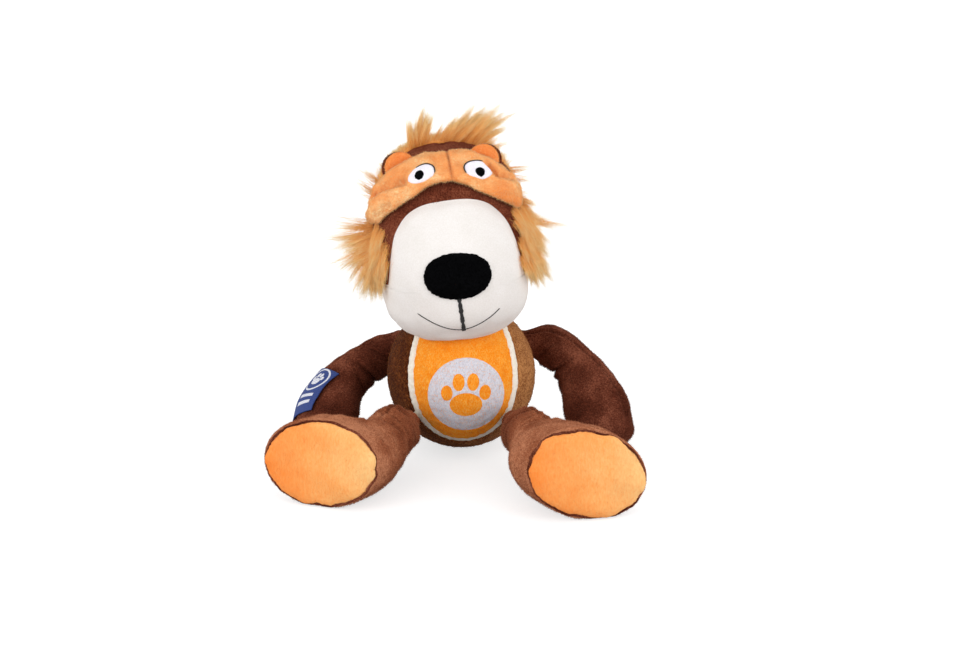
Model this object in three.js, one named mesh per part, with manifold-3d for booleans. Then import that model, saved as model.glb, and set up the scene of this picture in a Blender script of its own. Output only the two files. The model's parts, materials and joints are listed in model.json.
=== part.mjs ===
// A plush lion toy that sits on the floor. Its body is a felt tennis ball.
// The stuffed head, arms and legs are tied to the ball by three short ropes that pass through it.
//
// Lengths are in millimetres and angles in degrees. +Z is up and the toy faces -Y.
// Left and right are as seen from the front, so left is -X.
// The origin is the middle of the flat spot under the ball, where the toy rests.

import * as THREE from 'three';
import { mergeVertices } from 'three/addons/utils/BufferGeometryUtils.js';
import Module from 'manifold-3d';

const wasm = await Module();
wasm.setup();

// Clearances
const gap = 0.3;
const overrun = 20;

// Ball
const ballRadius = 32.5;
const feltThick = 2.2;
const coreWall = 3.3;
const seamWidth = 2.6;
const seamDrop = 0.5;
const restRadius = 5;
const patternLean = 13.8;
const patternYaw = 2.9;

// Ropes and knots
const ropeRadius = 1.5;
const knotRadius = 3.4;

// Cloth
const fabric = 1.2;
const seatClearance = 0.8;

// Head
const headHeight = 83;
const headHalfWidth = 33;
const headFront = 44.5;
const headBack = 28.5;
const headBottom = 20.5;
const headRoll = 4.4;
const headYaw = 4.8;
const nodRange = 18;
const sideSeamBack = 3;
const browBack = 9;
const archTop = 86;
const archHeight = 51;
const archHalfWidth = 28.9;
const archRound = 1.8;
const squeakerRadius = 14;
const squeakerDepth = 9;
const reedRadius = 4;

// Face
const noseHalfWidth = 14;
const noseHalfHeight = 9.6;
const noseHeight = 56;
const noseProud = 2.6;
const stitchProud = 0.9;
const philtrumWidth = 2;
const mouthWidth = 0.9;
const mouthHeight = 31.5;
const mouthHalfSpan = 18;
const mouthDip = 9;

// Mask, eyes and ears
const maskThick = 4;
const maskLining = 0.9;
const maskHalfHeight = 11;
const maskHeight = 96;
const maskDrop = 22.5;
const maskReach = 71;
const maskTurn = -2.5;
const eyeHalfWidth = 6.2;
const eyeHalfHeight = 3.9;
const eyeAngles = { left: -19.5, right: 26 };
const eyeTilt = 31;
const eyeDrop = 1.8;
const eyeProud = 0.7;
const pupilRadius = 2;
const earRadius = 6.5;
const earHeight = 4;
const earThick = 1.6;
const earAngle = 46;
const earSplay = 22;

// Mane
const maneWidth = 12;
const maneThick = 1.6;
const maneLow = 42;
const maneSplit = 35;
const maneEnd = 118;
const maneSidePause = 4;
const maneTopPause = 9;
const lockLength = 17;
const lockRadius = 3.6;

// Limbs
const rootRadius = 4.9;
const mouthHalfAngle = 62;
const armLength = 60;
const armHalfWide = 15;
const armHalfThick = 9.5;
const legLength = 74;
const footHalfLong = 26;
const footHalfHigh = 19;
const soleCrown = 3;
const solePad = 1.4;
const soleRim = 2.2;
const restCut = 0.5;
const tagWidth = 15;
const tagLength = 21;
const tagThick = 0.7;

const degrees = THREE.MathUtils.degToRad;
const ballCentre = new THREE.Vector3(0, 0, Math.sqrt(ballRadius ** 2 - restRadius ** 2));

// Turns a closed geometry into a solid that can be joined and cut.
function solid(geometry) {
  const bare = geometry.clone();
  bare.deleteAttribute('normal');
  bare.deleteAttribute('uv');
  const merged = mergeVertices(bare);
  const mesh = new wasm.Mesh({
    numProp: 3,
    vertProperties: new Float32Array(merged.attributes.position.array),
    triVerts: new Uint32Array(merged.index.array),
  });
  return new wasm.Manifold(mesh);
}

// Turns a solid back into a geometry.
function skin(body) {
  const mesh = body.getMesh();
  const geometry = new THREE.BufferGeometry();
  geometry.setAttribute('position', new THREE.BufferAttribute(mesh.vertProperties, 3));
  geometry.setIndex(new THREE.BufferAttribute(mesh.triVerts, 1));
  geometry.computeVertexNormals();
  return geometry;
}

// Joins rings of points, in order, into one closed surface with a point at each end.
function loft(start, rings, end) {
  const sides = rings[0].length;
  const points = [start, ...rings.flat(), end];
  const index = [];
  const at = (ring, side) => 1 + ring * sides + (side % sides);
  for (let side = 0; side < sides; side += 1) {
    index.push(0, at(0, side + 1), at(0, side));
    index.push(points.length - 1, at(rings.length - 1, side), at(rings.length - 1, side + 1));
    for (let ring = 0; ring < rings.length - 1; ring += 1) {
      index.push(at(ring, side), at(ring, side + 1), at(ring + 1, side + 1));
      index.push(at(ring, side), at(ring + 1, side + 1), at(ring + 1, side));
    }
  }
  const geometry = new THREE.BufferGeometry().setFromPoints(points);
  geometry.setIndex(index);
  return geometry;
}

function ballShape(radius, around, along, centre = new THREE.Vector3()) {
  return solid(new THREE.SphereGeometry(radius, around, along).translate(...centre.toArray()));
}

// A prism of an outline drawn in the front view, between two depths.
function frontPrism(shape, front, back) {
  const geometry = new THREE.ExtrudeGeometry(shape, {
    depth: back - front,
    bevelEnabled: false,
    curveSegments: 8,
  });
  return solid(geometry.rotateX(degrees(90)).translate(0, back, 0));
}

function block(width, depth, height, x, y, z) {
  return solid(new THREE.BoxGeometry(width, depth, height).translate(x, y, z));
}

// Everything below the floor.
function underFloor() {
  const span = 4 * (armLength + ballRadius);
  return block(span, span, span, 0, 0, -span / 2);
}

// Named meshes
const toy = new THREE.Group();
const paint = {
  rubber: { color: 0x2f2c2a, roughness: 0.8 },
  orangeFelt: { color: 0xfa9a2c, roughness: 0.95 },
  brownFelt: { color: 0x7a4a26, roughness: 0.95 },
  cream: { color: 0xe6d6bc, roughness: 0.7 },
  rope: { color: 0xd9cdb8, roughness: 0.9 },
  brownPlush: { color: 0x5f2f1f, roughness: 0.9 },
  orangePlush: { color: 0xf9ac6a, roughness: 0.9 },
  whitePlush: { color: 0xf4f1ee, roughness: 0.9 },
  blackPlush: { color: 0x0b0b0d, roughness: 0.9 },
  fibre: { color: 0xf2f0ec, roughness: 1 },
  squeaker: { color: 0xeeeeea, roughness: 0.4 },
  fur: { color: 0xd9975a, roughness: 0.8 },
  ribbon: { color: 0x2b4a82, roughness: 0.6 },
};

function add(group, name, finish, body) {
  const material = new THREE.MeshStandardMaterial({ ...paint[finish], metalness: 0 });
  const mesh = new THREE.Mesh(skin(body), material);
  mesh.name = name;
  group.add(mesh);
}

// The ball's seam: one closed wave around the ball, as on a tennis ball.
const waveMainShare = 0.75;
const waveThirdShare = 0.25;
const waveRiseShare = 2 * Math.sqrt(waveMainShare * waveThirdShare);
function seamDirection(turn) {
  return new THREE.Vector3(
    waveMainShare * Math.cos(turn) + waveThirdShare * Math.cos(3 * turn),
    waveMainShare * Math.sin(turn) - waveThirdShare * Math.sin(3 * turn),
    waveRiseShare * Math.sin(2 * turn),
  ).normalize();
}

// A point of the seam, moved sideways over the ball by a distance at its surface.
function besideSeam(turn, distance) {
  const step = 0.001;
  const here = seamDirection(turn);
  const ahead = seamDirection(turn + step).sub(seamDirection(turn - step)).normalize();
  const side = new THREE.Vector3().crossVectors(here, ahead).normalize();
  const angle = distance / ballRadius;
  return here.multiplyScalar(Math.cos(angle)).addScaledVector(side, Math.sin(angle));
}

// Turns the wave's own axes so that the first panel's waist is on top and its lobes front and back.
const patternTurn = new THREE.Matrix4()
  .makeRotationZ(degrees(patternYaw))
  .multiply(new THREE.Matrix4().makeRotationX(degrees(-patternLean)))
  .multiply(new THREE.Matrix4().makeRotationZ(degrees(-45)));

function placePattern(geometry) {
  return geometry.applyMatrix4(patternTurn).translate(...ballCentre.toArray());
}

function seamStrip() {
  const steps = 72;
  const half = seamWidth / 2;
  const outer = ballRadius - seamDrop;
  const inner = ballRadius - feltThick + gap / 3;
  const corners = [[-half, inner], [half, inner], [half, outer], [-half, outer]];
  const points = [];
  const index = [];
  for (let step = 0; step < steps; step += 1) {
    const turn = (2 * Math.PI * step) / steps;
    for (const [side, radius] of corners) {
      points.push(besideSeam(turn, side).multiplyScalar(radius));
    }
    for (let corner = 0; corner < corners.length; corner += 1) {
      const a = step * corners.length + corner;
      const b = step * corners.length + ((corner + 1) % corners.length);
      const c = ((step + 1) % steps) * corners.length + corner;
      const d = ((step + 1) % steps) * corners.length + ((corner + 1) % corners.length);
      index.push(a, b, c, b, d, c);
    }
  }
  const geometry = new THREE.BufferGeometry().setFromPoints(points);
  geometry.setIndex(index);
  return placePattern(geometry);
}

// One felt panel: rows across it run from one side of the seam to the mirrored place on the other.
function feltPanel(second) {
  const rows = 24;
  const columns = 6;
  const inset = seamWidth / 2 + gap;
  const points = [];
  const index = [];
  const layers = [ballRadius, ballRadius - feltThick + gap / 3];
  const quarter = Math.PI / 4;
  for (const radius of layers) {
    for (let row = 0; row <= rows; row += 1) {
      const turn = -quarter + (Math.PI * row) / rows;
      const edge = besideSeam(turn, inset);
      const across = new THREE.Vector3(1, 1, 0).normalize();
      const width = edge.dot(across);
      const middle = edge.clone().addScaledVector(across, -width).normalize();
      for (let column = 0; column <= columns; column += 1) {
        const reach = Math.asin(width) * ((2 * column) / columns - 1);
        const point = middle.clone().multiplyScalar(Math.cos(reach));
        points.push(point.addScaledVector(across, Math.sin(reach)).multiplyScalar(radius));
      }
    }
  }
  const line = columns + 1;
  const layer = line * (rows + 1);
  for (let row = 0; row < rows; row += 1) {
    for (let column = 0; column < columns; column += 1) {
      const a = row * line + column;
      index.push(a, a + 1, a + line + 1, a, a + line + 1, a + line);
      const b = a + layer;
      index.push(b, b + line + 1, b + 1, b, b + line, b + line + 1);
    }
    const left = row * line;
    index.push(left, left + line, left + layer, left + layer, left + line, left + line + layer);
    const right = left + columns;
    index.push(right, right + layer, right + line, right + line, right + layer, right + line + layer);
  }
  for (let column = 0; column < columns; column += 1) {
    const first = column;
    index.push(first, first + layer, first + 1, first + 1, first + layer, first + layer + 1);
    const last = rows * line + column;
    index.push(last, last + 1, last + layer, last + 1, last + layer + 1, last + layer);
  }
  const geometry = new THREE.BufferGeometry().setFromPoints(points);
  geometry.setIndex(index);
  if (second) {
    geometry.rotateX(Math.PI);
  }
  return placePattern(geometry);
}

// Limb roots: each limb turns about a knot that lies just off the ball.
const pivotReach = ballRadius + rootRadius + gap;
const shoulderShares = [0.74, 0.64, 0.2];
const hipShares = [0.6, -0.716, -0.35];
const shoulderDirection = new THREE.Vector3(...shoulderShares).normalize();
const hipDirection = new THREE.Vector3(...hipShares).normalize();
const neckPivot = new THREE.Vector3(0, 0, ballRadius + knotRadius + 2 * gap);
const headTurn = new THREE.Euler(0, degrees(-headRoll), degrees(headYaw), 'YXZ');
const neckDirection = new THREE.Vector3(0, 0, 1).applyEuler(headTurn);

function pivotOf(direction, side) {
  const pivot = direction.clone().multiplyScalar(pivotReach);
  pivot.x *= side;
  return pivot.add(ballCentre);
}

// A rope that runs straight in from each knot and bends in the middle of the ball.
const ropeBendShare = 0.1;
function rope(direction) {
  const ends = [-1, 1].map((side) => pivotOf(direction, side).sub(ballCentre));
  const reach = pivotReach - knotRadius - gap;
  const [start, end] = ends.map((knot) => knot.clone().setLength(reach).add(ballCentre));
  const [first, second] = ends.map((knot) => knot.multiplyScalar(ropeBendShare).add(ballCentre));
  const curve = new THREE.CubicBezierCurve3(start, first, second, end);
  const section = new THREE.Shape().absarc(0, 0, ropeRadius, 0, 2 * Math.PI);
  return solid(new THREE.ExtrudeGeometry(section, { steps: 14, curveSegments: 4, extrudePath: curve }));
}

function ropeHoles(body, ropes) {
  return ropes.reduce((cut, one) => cut.subtract(one), body);
}

// A hole from the middle of the ball outwards, for a rope.
function straightHole(direction) {
  const length = ballRadius + overrun;
  const hole = new THREE.CylinderGeometry(ropeRadius + gap, ropeRadius + gap, length, 10);
  hole.translate(0, length / 2, 0);
  const turn = new THREE.Quaternion().setFromUnitVectors(new THREE.Vector3(0, 1, 0), direction);
  return solid(hole.applyQuaternion(turn).translate(...ballCentre.toArray()));
}

function mirrored(vector, side) {
  return new THREE.Vector3(vector.x * side, vector.y, vector.z);
}

const sides = [['left', -1], ['right', 1]];
const up = new THREE.Vector3(0, 0, 1);
const holes = [straightHole(neckDirection)];
for (const [, side] of sides) {
  holes.push(straightHole(mirrored(shoulderDirection, side)));
  holes.push(straightHole(mirrored(hipDirection, side)));
}

// Ball
const floor = underFloor();
const coreOuter = ballRadius - feltThick - 2 * gap;
const coreHollow = ballShape(coreOuter - coreWall, 12, 8, ballCentre);
const core = ballShape(coreOuter, 18, 10, ballCentre).subtract(coreHollow);
const half = 3 * ballRadius;
const upperHalf = block(half, half, half, 0, 0, ballCentre.z + half / 2 + gap / 2);
const lowerHalf = block(half, half, half, 0, 0, ballCentre.z - half / 2 - gap / 2);
const drilledCore = ropeHoles(core, holes);
const ball = new THREE.Group();
toy.add(ball);
add(ball, 'core_upper', 'rubber', drilledCore.intersect(upperHalf));
add(ball, 'core_lower', 'rubber', drilledCore.intersect(lowerHalf));
add(ball, 'felt_orange', 'orangeFelt', ropeHoles(solid(feltPanel(false)), holes).subtract(floor));
add(ball, 'felt_brown', 'brownFelt', ropeHoles(solid(feltPanel(true)), holes).subtract(floor));
add(ball, 'seam_strip', 'cream', ropeHoles(solid(seamStrip()), holes).subtract(floor));
for (const [name, direction] of [['arm_rope', shoulderDirection], ['leg_rope', hipDirection]]) {
  add(ball, name, 'rope', rope(direction));
}

// Head. Its own frame has the middle of the ball as its origin and the face towards -Y.
// The outline is a table of levels from the chin up: height, half width, front and back shares.
const headShares = [
  [0, 0, 0.3, -0.3],
  [0.045, 0.5, 0.66, 0],
  [0.105, 0.77, 0.82, 0.38],
  [0.19, 0.92, 0.94, 0.7],
  [0.31, 0.97, 0.99, 0.9],
  [0.43, 1, 1, 0.99],
  [0.56, 1, 0.94, 1],
  [0.68, 0.97, 0.83, 0.98],
  [0.8, 0.88, 0.67, 0.9],
  [0.9, 0.7, 0.47, 0.75],
  [0.97, 0.42, 0.22, 0.48],
  [1, 0, -0.07, 0.07],
];
const headFullness = 2.3;
const headSideCount = 26;
const headLevelCount = 18;
const liningSideCount = 16;
const liningLevelCount = 12;
const headSides = new THREE.CatmullRomCurve3(
  headShares.map(([height, width]) => new THREE.Vector3(width, 0, height)),
);
const headDepths = new THREE.CatmullRomCurve3(
  headShares.map(([height, , front, back]) => new THREE.Vector3(front, back, height)),
);

function power(value, exponent) {
  return Math.sign(value) * Math.abs(value) ** exponent;
}

// A point of the head's surface, grown outwards, at a share of its levels and an angle from the face.
function headPoint(level, angle, grow) {
  const side = headSides.getPoint(level);
  const depth = headDepths.getPoint(level);
  const tip = level <= 0 || level >= 1;
  const halfWide = tip ? 0 : Math.max(headHalfWidth * side.x + grow, 0);
  const middle = (headBack * depth.y - headFront * depth.x) / 2;
  const halfDeep = tip ? 0 : (headBack * depth.y + headFront * depth.x) / 2 + grow;
  return new THREE.Vector3(
    halfWide * power(Math.sin(angle), 2 / headFullness),
    middle - halfDeep * power(Math.cos(angle), 2 / headFullness),
    headBottom + headHeight * side.z + grow * (2 * side.z - 1),
  );
}

function headForm(grow, around, levels) {
  const rings = [];
  for (let ring = 1; ring < levels; ring += 1) {
    const level = (1 - Math.cos((Math.PI * ring) / levels)) / 2;
    const points = [];
    for (let side = 0; side < around; side += 1) {
      points.push(headPoint(level, (2 * Math.PI * side) / around, grow));
    }
    rings.push(points);
  }
  return solid(loft(headPoint(0, 0, grow), rings, headPoint(1, 0, grow)));
}

// The level at which the head reaches a height.
function headLevel(height, angle) {
  let low = 0;
  let high = 1;
  for (let pass = 0; pass < 30; pass += 1) {
    const middle = (low + high) / 2;
    if (headPoint(middle, angle, 0).z < height) low = middle;
    else high = middle;
  }
  return low;
}

// The place on the head at a level and an angle, with its outward direction.
const levelStep = 0.01;
function headPlace(level, angle) {
  const point = headPoint(level, angle, 0);
  const next = Math.min(level + levelStep, 1 - levelStep);
  const along = headPoint(level, angle + levelStep, 0).sub(headPoint(level, angle - levelStep, 0));
  const rise = headPoint(next, angle, 0).sub(headPoint(level - levelStep, angle, 0));
  const normal = new THREE.Vector3().crossVectors(along, rise).normalize();
  return { point, normal, rise: rise.normalize(), along: along.normalize() };
}

// The hollow under the head where it sits on the ball, widened for the way the ball passes on a nod.
function seatHollow(grow) {
  const radius = ballRadius + seatClearance + grow;
  const steps = 3;
  let hollow = ballShape(radius, 20, 14);
  for (let step = 1; step < steps; step += 1) {
    const angle = degrees((nodRange * step) / (steps - 1));
    const centre = new THREE.Vector3(0, Math.sin(angle), -Math.cos(angle)).multiplyScalar(neckPivot.z);
    hollow = hollow.add(ballShape(radius, 20, 14, centre.add(neckPivot)));
  }
  return hollow;
}

// The outline of the white face panel in the front view: an arch that widens to the sides below.
const archSideShare = 0.65;
const archFootShare = 0.99;
const archShoulderShare = 0.95;
const archCrownShare = 0.48;
function faceOutline(grow) {
  const wide = 2 * headHalfWidth;
  const top = archTop + grow;
  const foot = archHalfWidth + grow;
  const shoulder = archHalfWidth * archShoulderShare + grow;
  const crown = archHalfWidth * archCrownShare;
  const low = archHeight * archFootShare;
  const shape = new THREE.Shape();
  shape.moveTo(-wide, -overrun);
  shape.lineTo(-wide, archHeight * archSideShare);
  shape.quadraticCurveTo(-foot, low, -foot, archHeight);
  shape.bezierCurveTo(-shoulder, top - archRound, -crown, top, 0, top);
  shape.bezierCurveTo(crown, top, shoulder, top - archRound, foot, archHeight);
  shape.quadraticCurveTo(foot, low, wide, archHeight * archSideShare);
  shape.lineTo(wide, -overrun);
  shape.closePath();
  return shape;
}

const headSpan = 3 * headHeight;
function behind(depth) {
  return block(headSpan, headSpan, headSpan, 0, depth + headSpan / 2, 0);
}

const head = new THREE.Group();
head.position.copy(ballCentre);
head.rotation.copy(headTurn);
toy.add(head);

const headOuter = headForm(0, headSideCount, headLevelCount);
const headLining = headForm(-fabric, liningSideCount, liningLevelCount);
const hollow = seatHollow(0);
const shell = headOuter.subtract(headLining).subtract(hollow);
const faceFront = frontPrism(faceOutline(0), -headSpan, -sideSeamBack);
const faceBack = frontPrism(faceOutline(gap), -headSpan, -sideSeamBack + gap);
add(head, 'face_panel', 'whitePlush', shell.intersect(faceFront));
add(head, 'brow_panel', 'brownPlush', shell.subtract(faceBack).subtract(behind(browBack)));
add(head, 'back_panel', 'brownPlush', shell.subtract(faceBack).intersect(behind(browBack + gap)));

const neckHole = solid(
  new THREE.CylinderGeometry(ropeRadius + 3 * gap, ropeRadius + fabric + 3 * gap, overrun, 12)
    .rotateX(Math.PI / 2)
    .translate(0, 0, neckPivot.z - overrun / 2),
);
const knotPocket = ballShape(knotRadius + gap + gap / 2, 10, 8, neckPivot);
const insideHead = headForm(-fabric - gap, liningSideCount, liningLevelCount);
const seatLining = insideHead.intersect(seatHollow(fabric)).subtract(hollow);
add(head, 'seat_panel', 'brownPlush', seatLining.subtract(neckHole).subtract(knotPocket));

const squeakerPlace = new THREE.Vector3(0, -sideSeamBack - squeakerRadius, noseHeight);
const pocketDepth = 4 * overrun;
const pocketMiddle = squeakerPlace.y - squeakerDepth / 2 - gap + pocketDepth / 2;
const squeakerPocket = solid(
  new THREE.CylinderGeometry(squeakerRadius + gap, squeakerRadius + gap, pocketDepth, 16)
    .translate(0, pocketMiddle, squeakerPlace.z),
);
const stuffing = insideHead.subtract(seatHollow(fabric + gap)).subtract(neckHole);
add(head, 'head_stuffing', 'fibre', stuffing.subtract(knotPocket).subtract(squeakerPocket));

// A prism of an outline along a direction: the outline's own x and y lie along two given directions.
function prismAlong(shape, origin, across, rise, from, to) {
  const depth = to - from;
  const geometry = new THREE.ExtrudeGeometry(shape, { depth, bevelEnabled: false, curveSegments: 8 });
  const ahead = new THREE.Vector3().crossVectors(across, rise).normalize();
  const place = new THREE.Matrix4().makeBasis(across, rise, ahead).setPosition(origin);
  return solid(geometry.translate(0, 0, from).applyMatrix4(place));
}

function oval(halfWide, halfHigh, x = 0, y = 0, tilt = 0) {
  return new THREE.Shape().absellipse(x, y, halfWide, halfHigh, 0, 2 * Math.PI, false, tilt);
}

const headClear = headForm(gap, headSideCount, headLevelCount);

// A flat layer on the head: a shell between two growths of the head, inside a front view outline.
function headPatch(shape, proud) {
  const layer = headForm(gap + proud, headSideCount, headLevelCount).subtract(headClear);
  return layer.intersect(frontPrism(shape, -headSpan, -sideSeamBack));
}

// Squeaker: a round bladder with its reed behind it, held in a pocket that opens at the back.
const squeakerFront = squeakerPlace.y - squeakerDepth / 2;
const bladderShares = [[0, 0], [0.72, 0], [1, 0.25], [1, 0.75], [0.72, 1], [0, 1]];
const reedShares = [[0, 0], [1, 0], [1, 0.6], [0.6, 1], [0, 1]];
function turned(shares, radius, length, around) {
  const profile = shares.map(([out, rise]) => new THREE.Vector2(out * radius, rise * length));
  return new THREE.LatheGeometry(profile, around);
}

const bladder = turned(bladderShares, squeakerRadius, squeakerDepth, 16);
add(head, 'squeaker_bladder', 'squeaker', solid(bladder.translate(0, squeakerFront, noseHeight)));
const reedFront = squeakerFront + squeakerDepth + gap;
const reed = turned(reedShares, reedRadius, squeakerDepth / 2, 12);
add(head, 'squeaker_reed', 'squeaker', solid(reed.translate(0, reedFront, noseHeight)));

// Nose, and the stitched line and smile under it
const noseOutline = oval(noseHalfWidth, noseHalfHeight, 0, noseHeight);
add(head, 'nose', 'blackPlush', headPatch(noseOutline, noseProud));
const mouthOutline = new THREE.Shape();
const mouthEnd = mouthHeight + mouthDip;
const mouthLow = mouthHeight - mouthWidth;
mouthOutline.moveTo(-mouthHalfSpan, mouthEnd);
mouthOutline.quadraticCurveTo(-mouthHalfSpan / 2, mouthHeight, 0, mouthHeight);
mouthOutline.quadraticCurveTo(mouthHalfSpan / 2, mouthHeight, mouthHalfSpan, mouthEnd);
mouthOutline.quadraticCurveTo(mouthHalfSpan / 2, mouthLow, 0, mouthLow);
mouthOutline.quadraticCurveTo(-mouthHalfSpan / 2, mouthLow, -mouthHalfSpan, mouthEnd);
add(head, 'mouth_stitch', 'blackPlush', headPatch(mouthOutline, stitchProud));
const philtrumTop = noseHeight - noseHalfHeight - gap;
const philtrumLow = mouthHeight + gap;
const philtrumOutline = new THREE.Shape([
  new THREE.Vector2(-philtrumWidth / 2, philtrumLow),
  new THREE.Vector2(philtrumWidth / 2, philtrumLow),
  new THREE.Vector2(philtrumWidth / 2, philtrumTop),
  new THREE.Vector2(-philtrumWidth / 2, philtrumTop),
]);
add(head, 'philtrum_stitch', 'blackPlush', headPatch(philtrumOutline, stitchProud));

// Mask: a padded band around the brow, on a thin lining.
const maskRange = degrees(maskReach);
const maskPinchShare = 0.25;
const maskPinchReachShare = 0.35;

// A place on the head under the mask, a distance up or down the head from the mask's middle line.
function maskPlace(angle, distance) {
  const turn = angle + degrees(maskTurn);
  const level = headLevel(maskHeight - maskDrop * (1 - Math.cos(angle)), turn);
  const span = headPoint(level + levelStep, turn, 0).distanceTo(headPoint(level - levelStep, turn, 0));
  return headPlace(level + (2 * levelStep * distance) / span, turn);
}

function maskForm(grow) {
  const spans = 18;
  const around = 8;
  const halfThick = (maskThick + maskLining + gap) / 2;
  const rings = [];
  const tips = [];
  for (let span = 0; span <= spans; span += 1) {
    const share = (2 * span) / spans - 1;
    const taper = (1 - Math.abs(share) ** 8) ** 0.5;
    const pinch = 1 - maskPinchShare * Math.exp(-((share / maskPinchReachShare) ** 2));
    if (taper < 0.05) {
      const { point, normal } = maskPlace(maskRange * share, 0);
      tips.push(point.addScaledVector(normal, gap + halfThick));
    } else {
      const points = [];
      for (let side = 0; side < around; side += 1) {
        const turn = (2 * Math.PI * side) / around;
        const high = (maskHalfHeight * pinch * taper + grow) * power(Math.cos(turn), 0.7);
        const thick = (halfThick * Math.min(1, 2 * taper) + grow) * power(Math.sin(turn), 0.7);
        const { point, normal } = maskPlace(maskRange * share, high);
        points.push(point.addScaledVector(normal, gap + halfThick + thick));
      }
      rings.push(points);
    }
  }
  return solid(loft(tips[0], rings, tips[1]));
}

const mask = maskForm(0);
const liningTop = headForm(gap + maskLining, headSideCount, headLevelCount);
add(head, 'mask_lining', 'brownPlush', mask.intersect(liningTop).subtract(headClear));
add(head, 'mask_front', 'orangePlush', mask.subtract(headForm(2 * gap + maskLining, headSideCount, headLevelCount)));

// A layer on the mask: a shell between two growths of it, inside an outline that faces outwards.
function maskPatch(angle, shape, low, proud) {
  const { point, normal, along, rise } = maskPlace(angle, -eyeDrop);
  const layer = maskForm(low + proud).subtract(maskForm(low));
  const across = along.clone();
  const upward = new THREE.Vector3().crossVectors(normal, across).normalize();
  if (upward.dot(rise) < 0) upward.negate();
  return layer.intersect(prismAlong(shape, point, across, upward, maskThick / 2, overrun));
}

for (const [name, side] of sides) {
  const angle = degrees(eyeAngles[name]);
  const white = oval(eyeHalfWidth, eyeHalfHeight, 0, 0, -side * degrees(eyeTilt));
  add(head, `eye_white_${name}`, 'whitePlush', maskPatch(angle, white, gap, eyeProud));
  const pupil = oval(pupilRadius, pupilRadius);
  add(head, `pupil_${name}`, 'blackPlush', maskPatch(angle, pupil, 2 * gap + eyeProud, eyeProud));
}

// Ears: two round layers that stand behind the mask's upper edge.
const maskClear = maskForm(gap);
for (const [name, side] of sides) {
  const angle = side * degrees(earAngle);
  const { point } = maskPlace(angle, maskHalfHeight - earThick);
  const foot = point.add(new THREE.Vector3(0, maskThick / 2, 0));
  const splay = side * degrees(earSplay);
  const upward = new THREE.Vector3(Math.sin(splay), 0, Math.cos(splay));
  const across = new THREE.Vector3(Math.cos(splay), 0, -Math.sin(splay));
  const outline = new THREE.Shape();
  outline.moveTo(-earRadius, -earRadius);
  outline.lineTo(earRadius, -earRadius);
  outline.lineTo(earRadius, earHeight);
  outline.absarc(0, earHeight, earRadius, 0, Math.PI);
  outline.closePath();
  const frontLayer = prismAlong(outline, foot, across, upward, gap / 2, gap / 2 + earThick);
  const backLayer = prismAlong(outline, foot, across, upward, -gap / 2 - earThick, -gap / 2);
  add(head, `ear_front_${name}`, 'orangePlush', frontLayer.subtract(headClear).subtract(maskClear));
  add(head, `ear_back_${name}`, 'brownPlush', backLayer.subtract(headClear).subtract(maskClear));
}

// Mane: a strip of long fur behind the brow, in three lengths, with locks that stand out from it.
function headHolds(point) {
  let low = 0;
  let high = 1;
  for (let pass = 0; pass < 30; pass += 1) {
    const middle = (low + high) / 2;
    if (headPoint(middle, 0, 0).z < point.z) low = middle;
    else high = middle;
  }
  const front = headPoint(low, 0, 0).y;
  const back = headPoint(low, Math.PI, 0).y;
  const wide = headPoint(low, Math.PI / 2, 0).x;
  const deep = (2 * point.y - front - back) / (back - front);
  return Math.abs(point.x / wide) ** headFullness + Math.abs(deep) ** headFullness < 1;
}

const maneFront = browBack - maneWidth / 4;
const maneMiddle = maneFront + maneWidth / 2;
function maneRoot(turn) {
  const outward = new THREE.Vector3(Math.sin(turn), 0, Math.cos(turn));
  const hub = new THREE.Vector3(0, maneMiddle, headBottom + headHeight / 2);
  let reach = headHalfWidth / 2;
  while (headHolds(hub.clone().addScaledVector(outward, reach))) reach += gap;
  return { outward, root: hub.addScaledVector(outward, reach) };
}

const lockLevelShares = [0, 0.35, 0.7];
const lockTaperShare = 0.85;
const lockBreadthShare = 1.4;
function furLock(turn, length, lean, sag, grow) {
  const { outward, root } = maneRoot(turn);
  const side = new THREE.Vector3(0, 1, 0);
  const along = new THREE.Vector3().crossVectors(side, outward);
  const rings = [];
  const corners = 5;
  const at = (share) => root
    .clone()
    .addScaledVector(outward, gap + length * share)
    .addScaledVector(along, length * lean * share ** 2)
    .addScaledVector(up, -length * sag * share ** 2);
  for (const level of lockLevelShares) {
    const radius = lockRadius * (1 - level * lockTaperShare) + grow;
    const points = [];
    for (let corner = 0; corner < corners; corner += 1) {
      const angle = (2 * Math.PI * corner) / corners;
      const point = at(level).addScaledVector(side, lockBreadthShare * radius * Math.cos(angle));
      points.push(point.addScaledVector(along, -radius * Math.sin(angle)));
    }
    rings.push(points);
  }
  const start = at(0).addScaledVector(outward, -lockRadius);
  return solid(loft(start, rings, at(1).addScaledVector(outward, grow)));
}

const sideStart = maneSplit + maneSidePause;
const topStart = maneSplit - maneTopPause;
const manePieces = [
  { name: 'left', side: -1, from: -maneEnd, to: -sideStart },
  { name: 'top', side: 0, from: -topStart, to: topStart },
  { name: 'right', side: 1, from: sideStart, to: maneEnd },
];
const lockShares = {
  left: [0.7, 0.95, 1.15, 1.2, 0.95, 0.8, 0.85],
  top: [0.75, 0.95, 1, 0.9, 0.95, 0.75],
  right: [0.6, 0.65, 0.6, 0.55, 0.6, 0.6, 0.5],
};
const lockLeanShares = { left: -0.25, top: 0.25, right: 0.25 };
const lockSagShares = { left: 0.3, top: 0, right: 0.15 };
const maneLayer = headForm(gap + maneThick, headSideCount, headLevelCount)
  .intersect(behind(maneFront))
  .subtract(behind(maneFront + maneWidth))
  .intersect(block(headSpan, headSpan, headSpan, 0, 0, maneLow + headSpan / 2));
const maneOver = headForm(2 * gap + maneThick, headSideCount, headLevelCount);
const splitAt = Math.sin(degrees(maneSplit)) * headHalfWidth;
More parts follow.
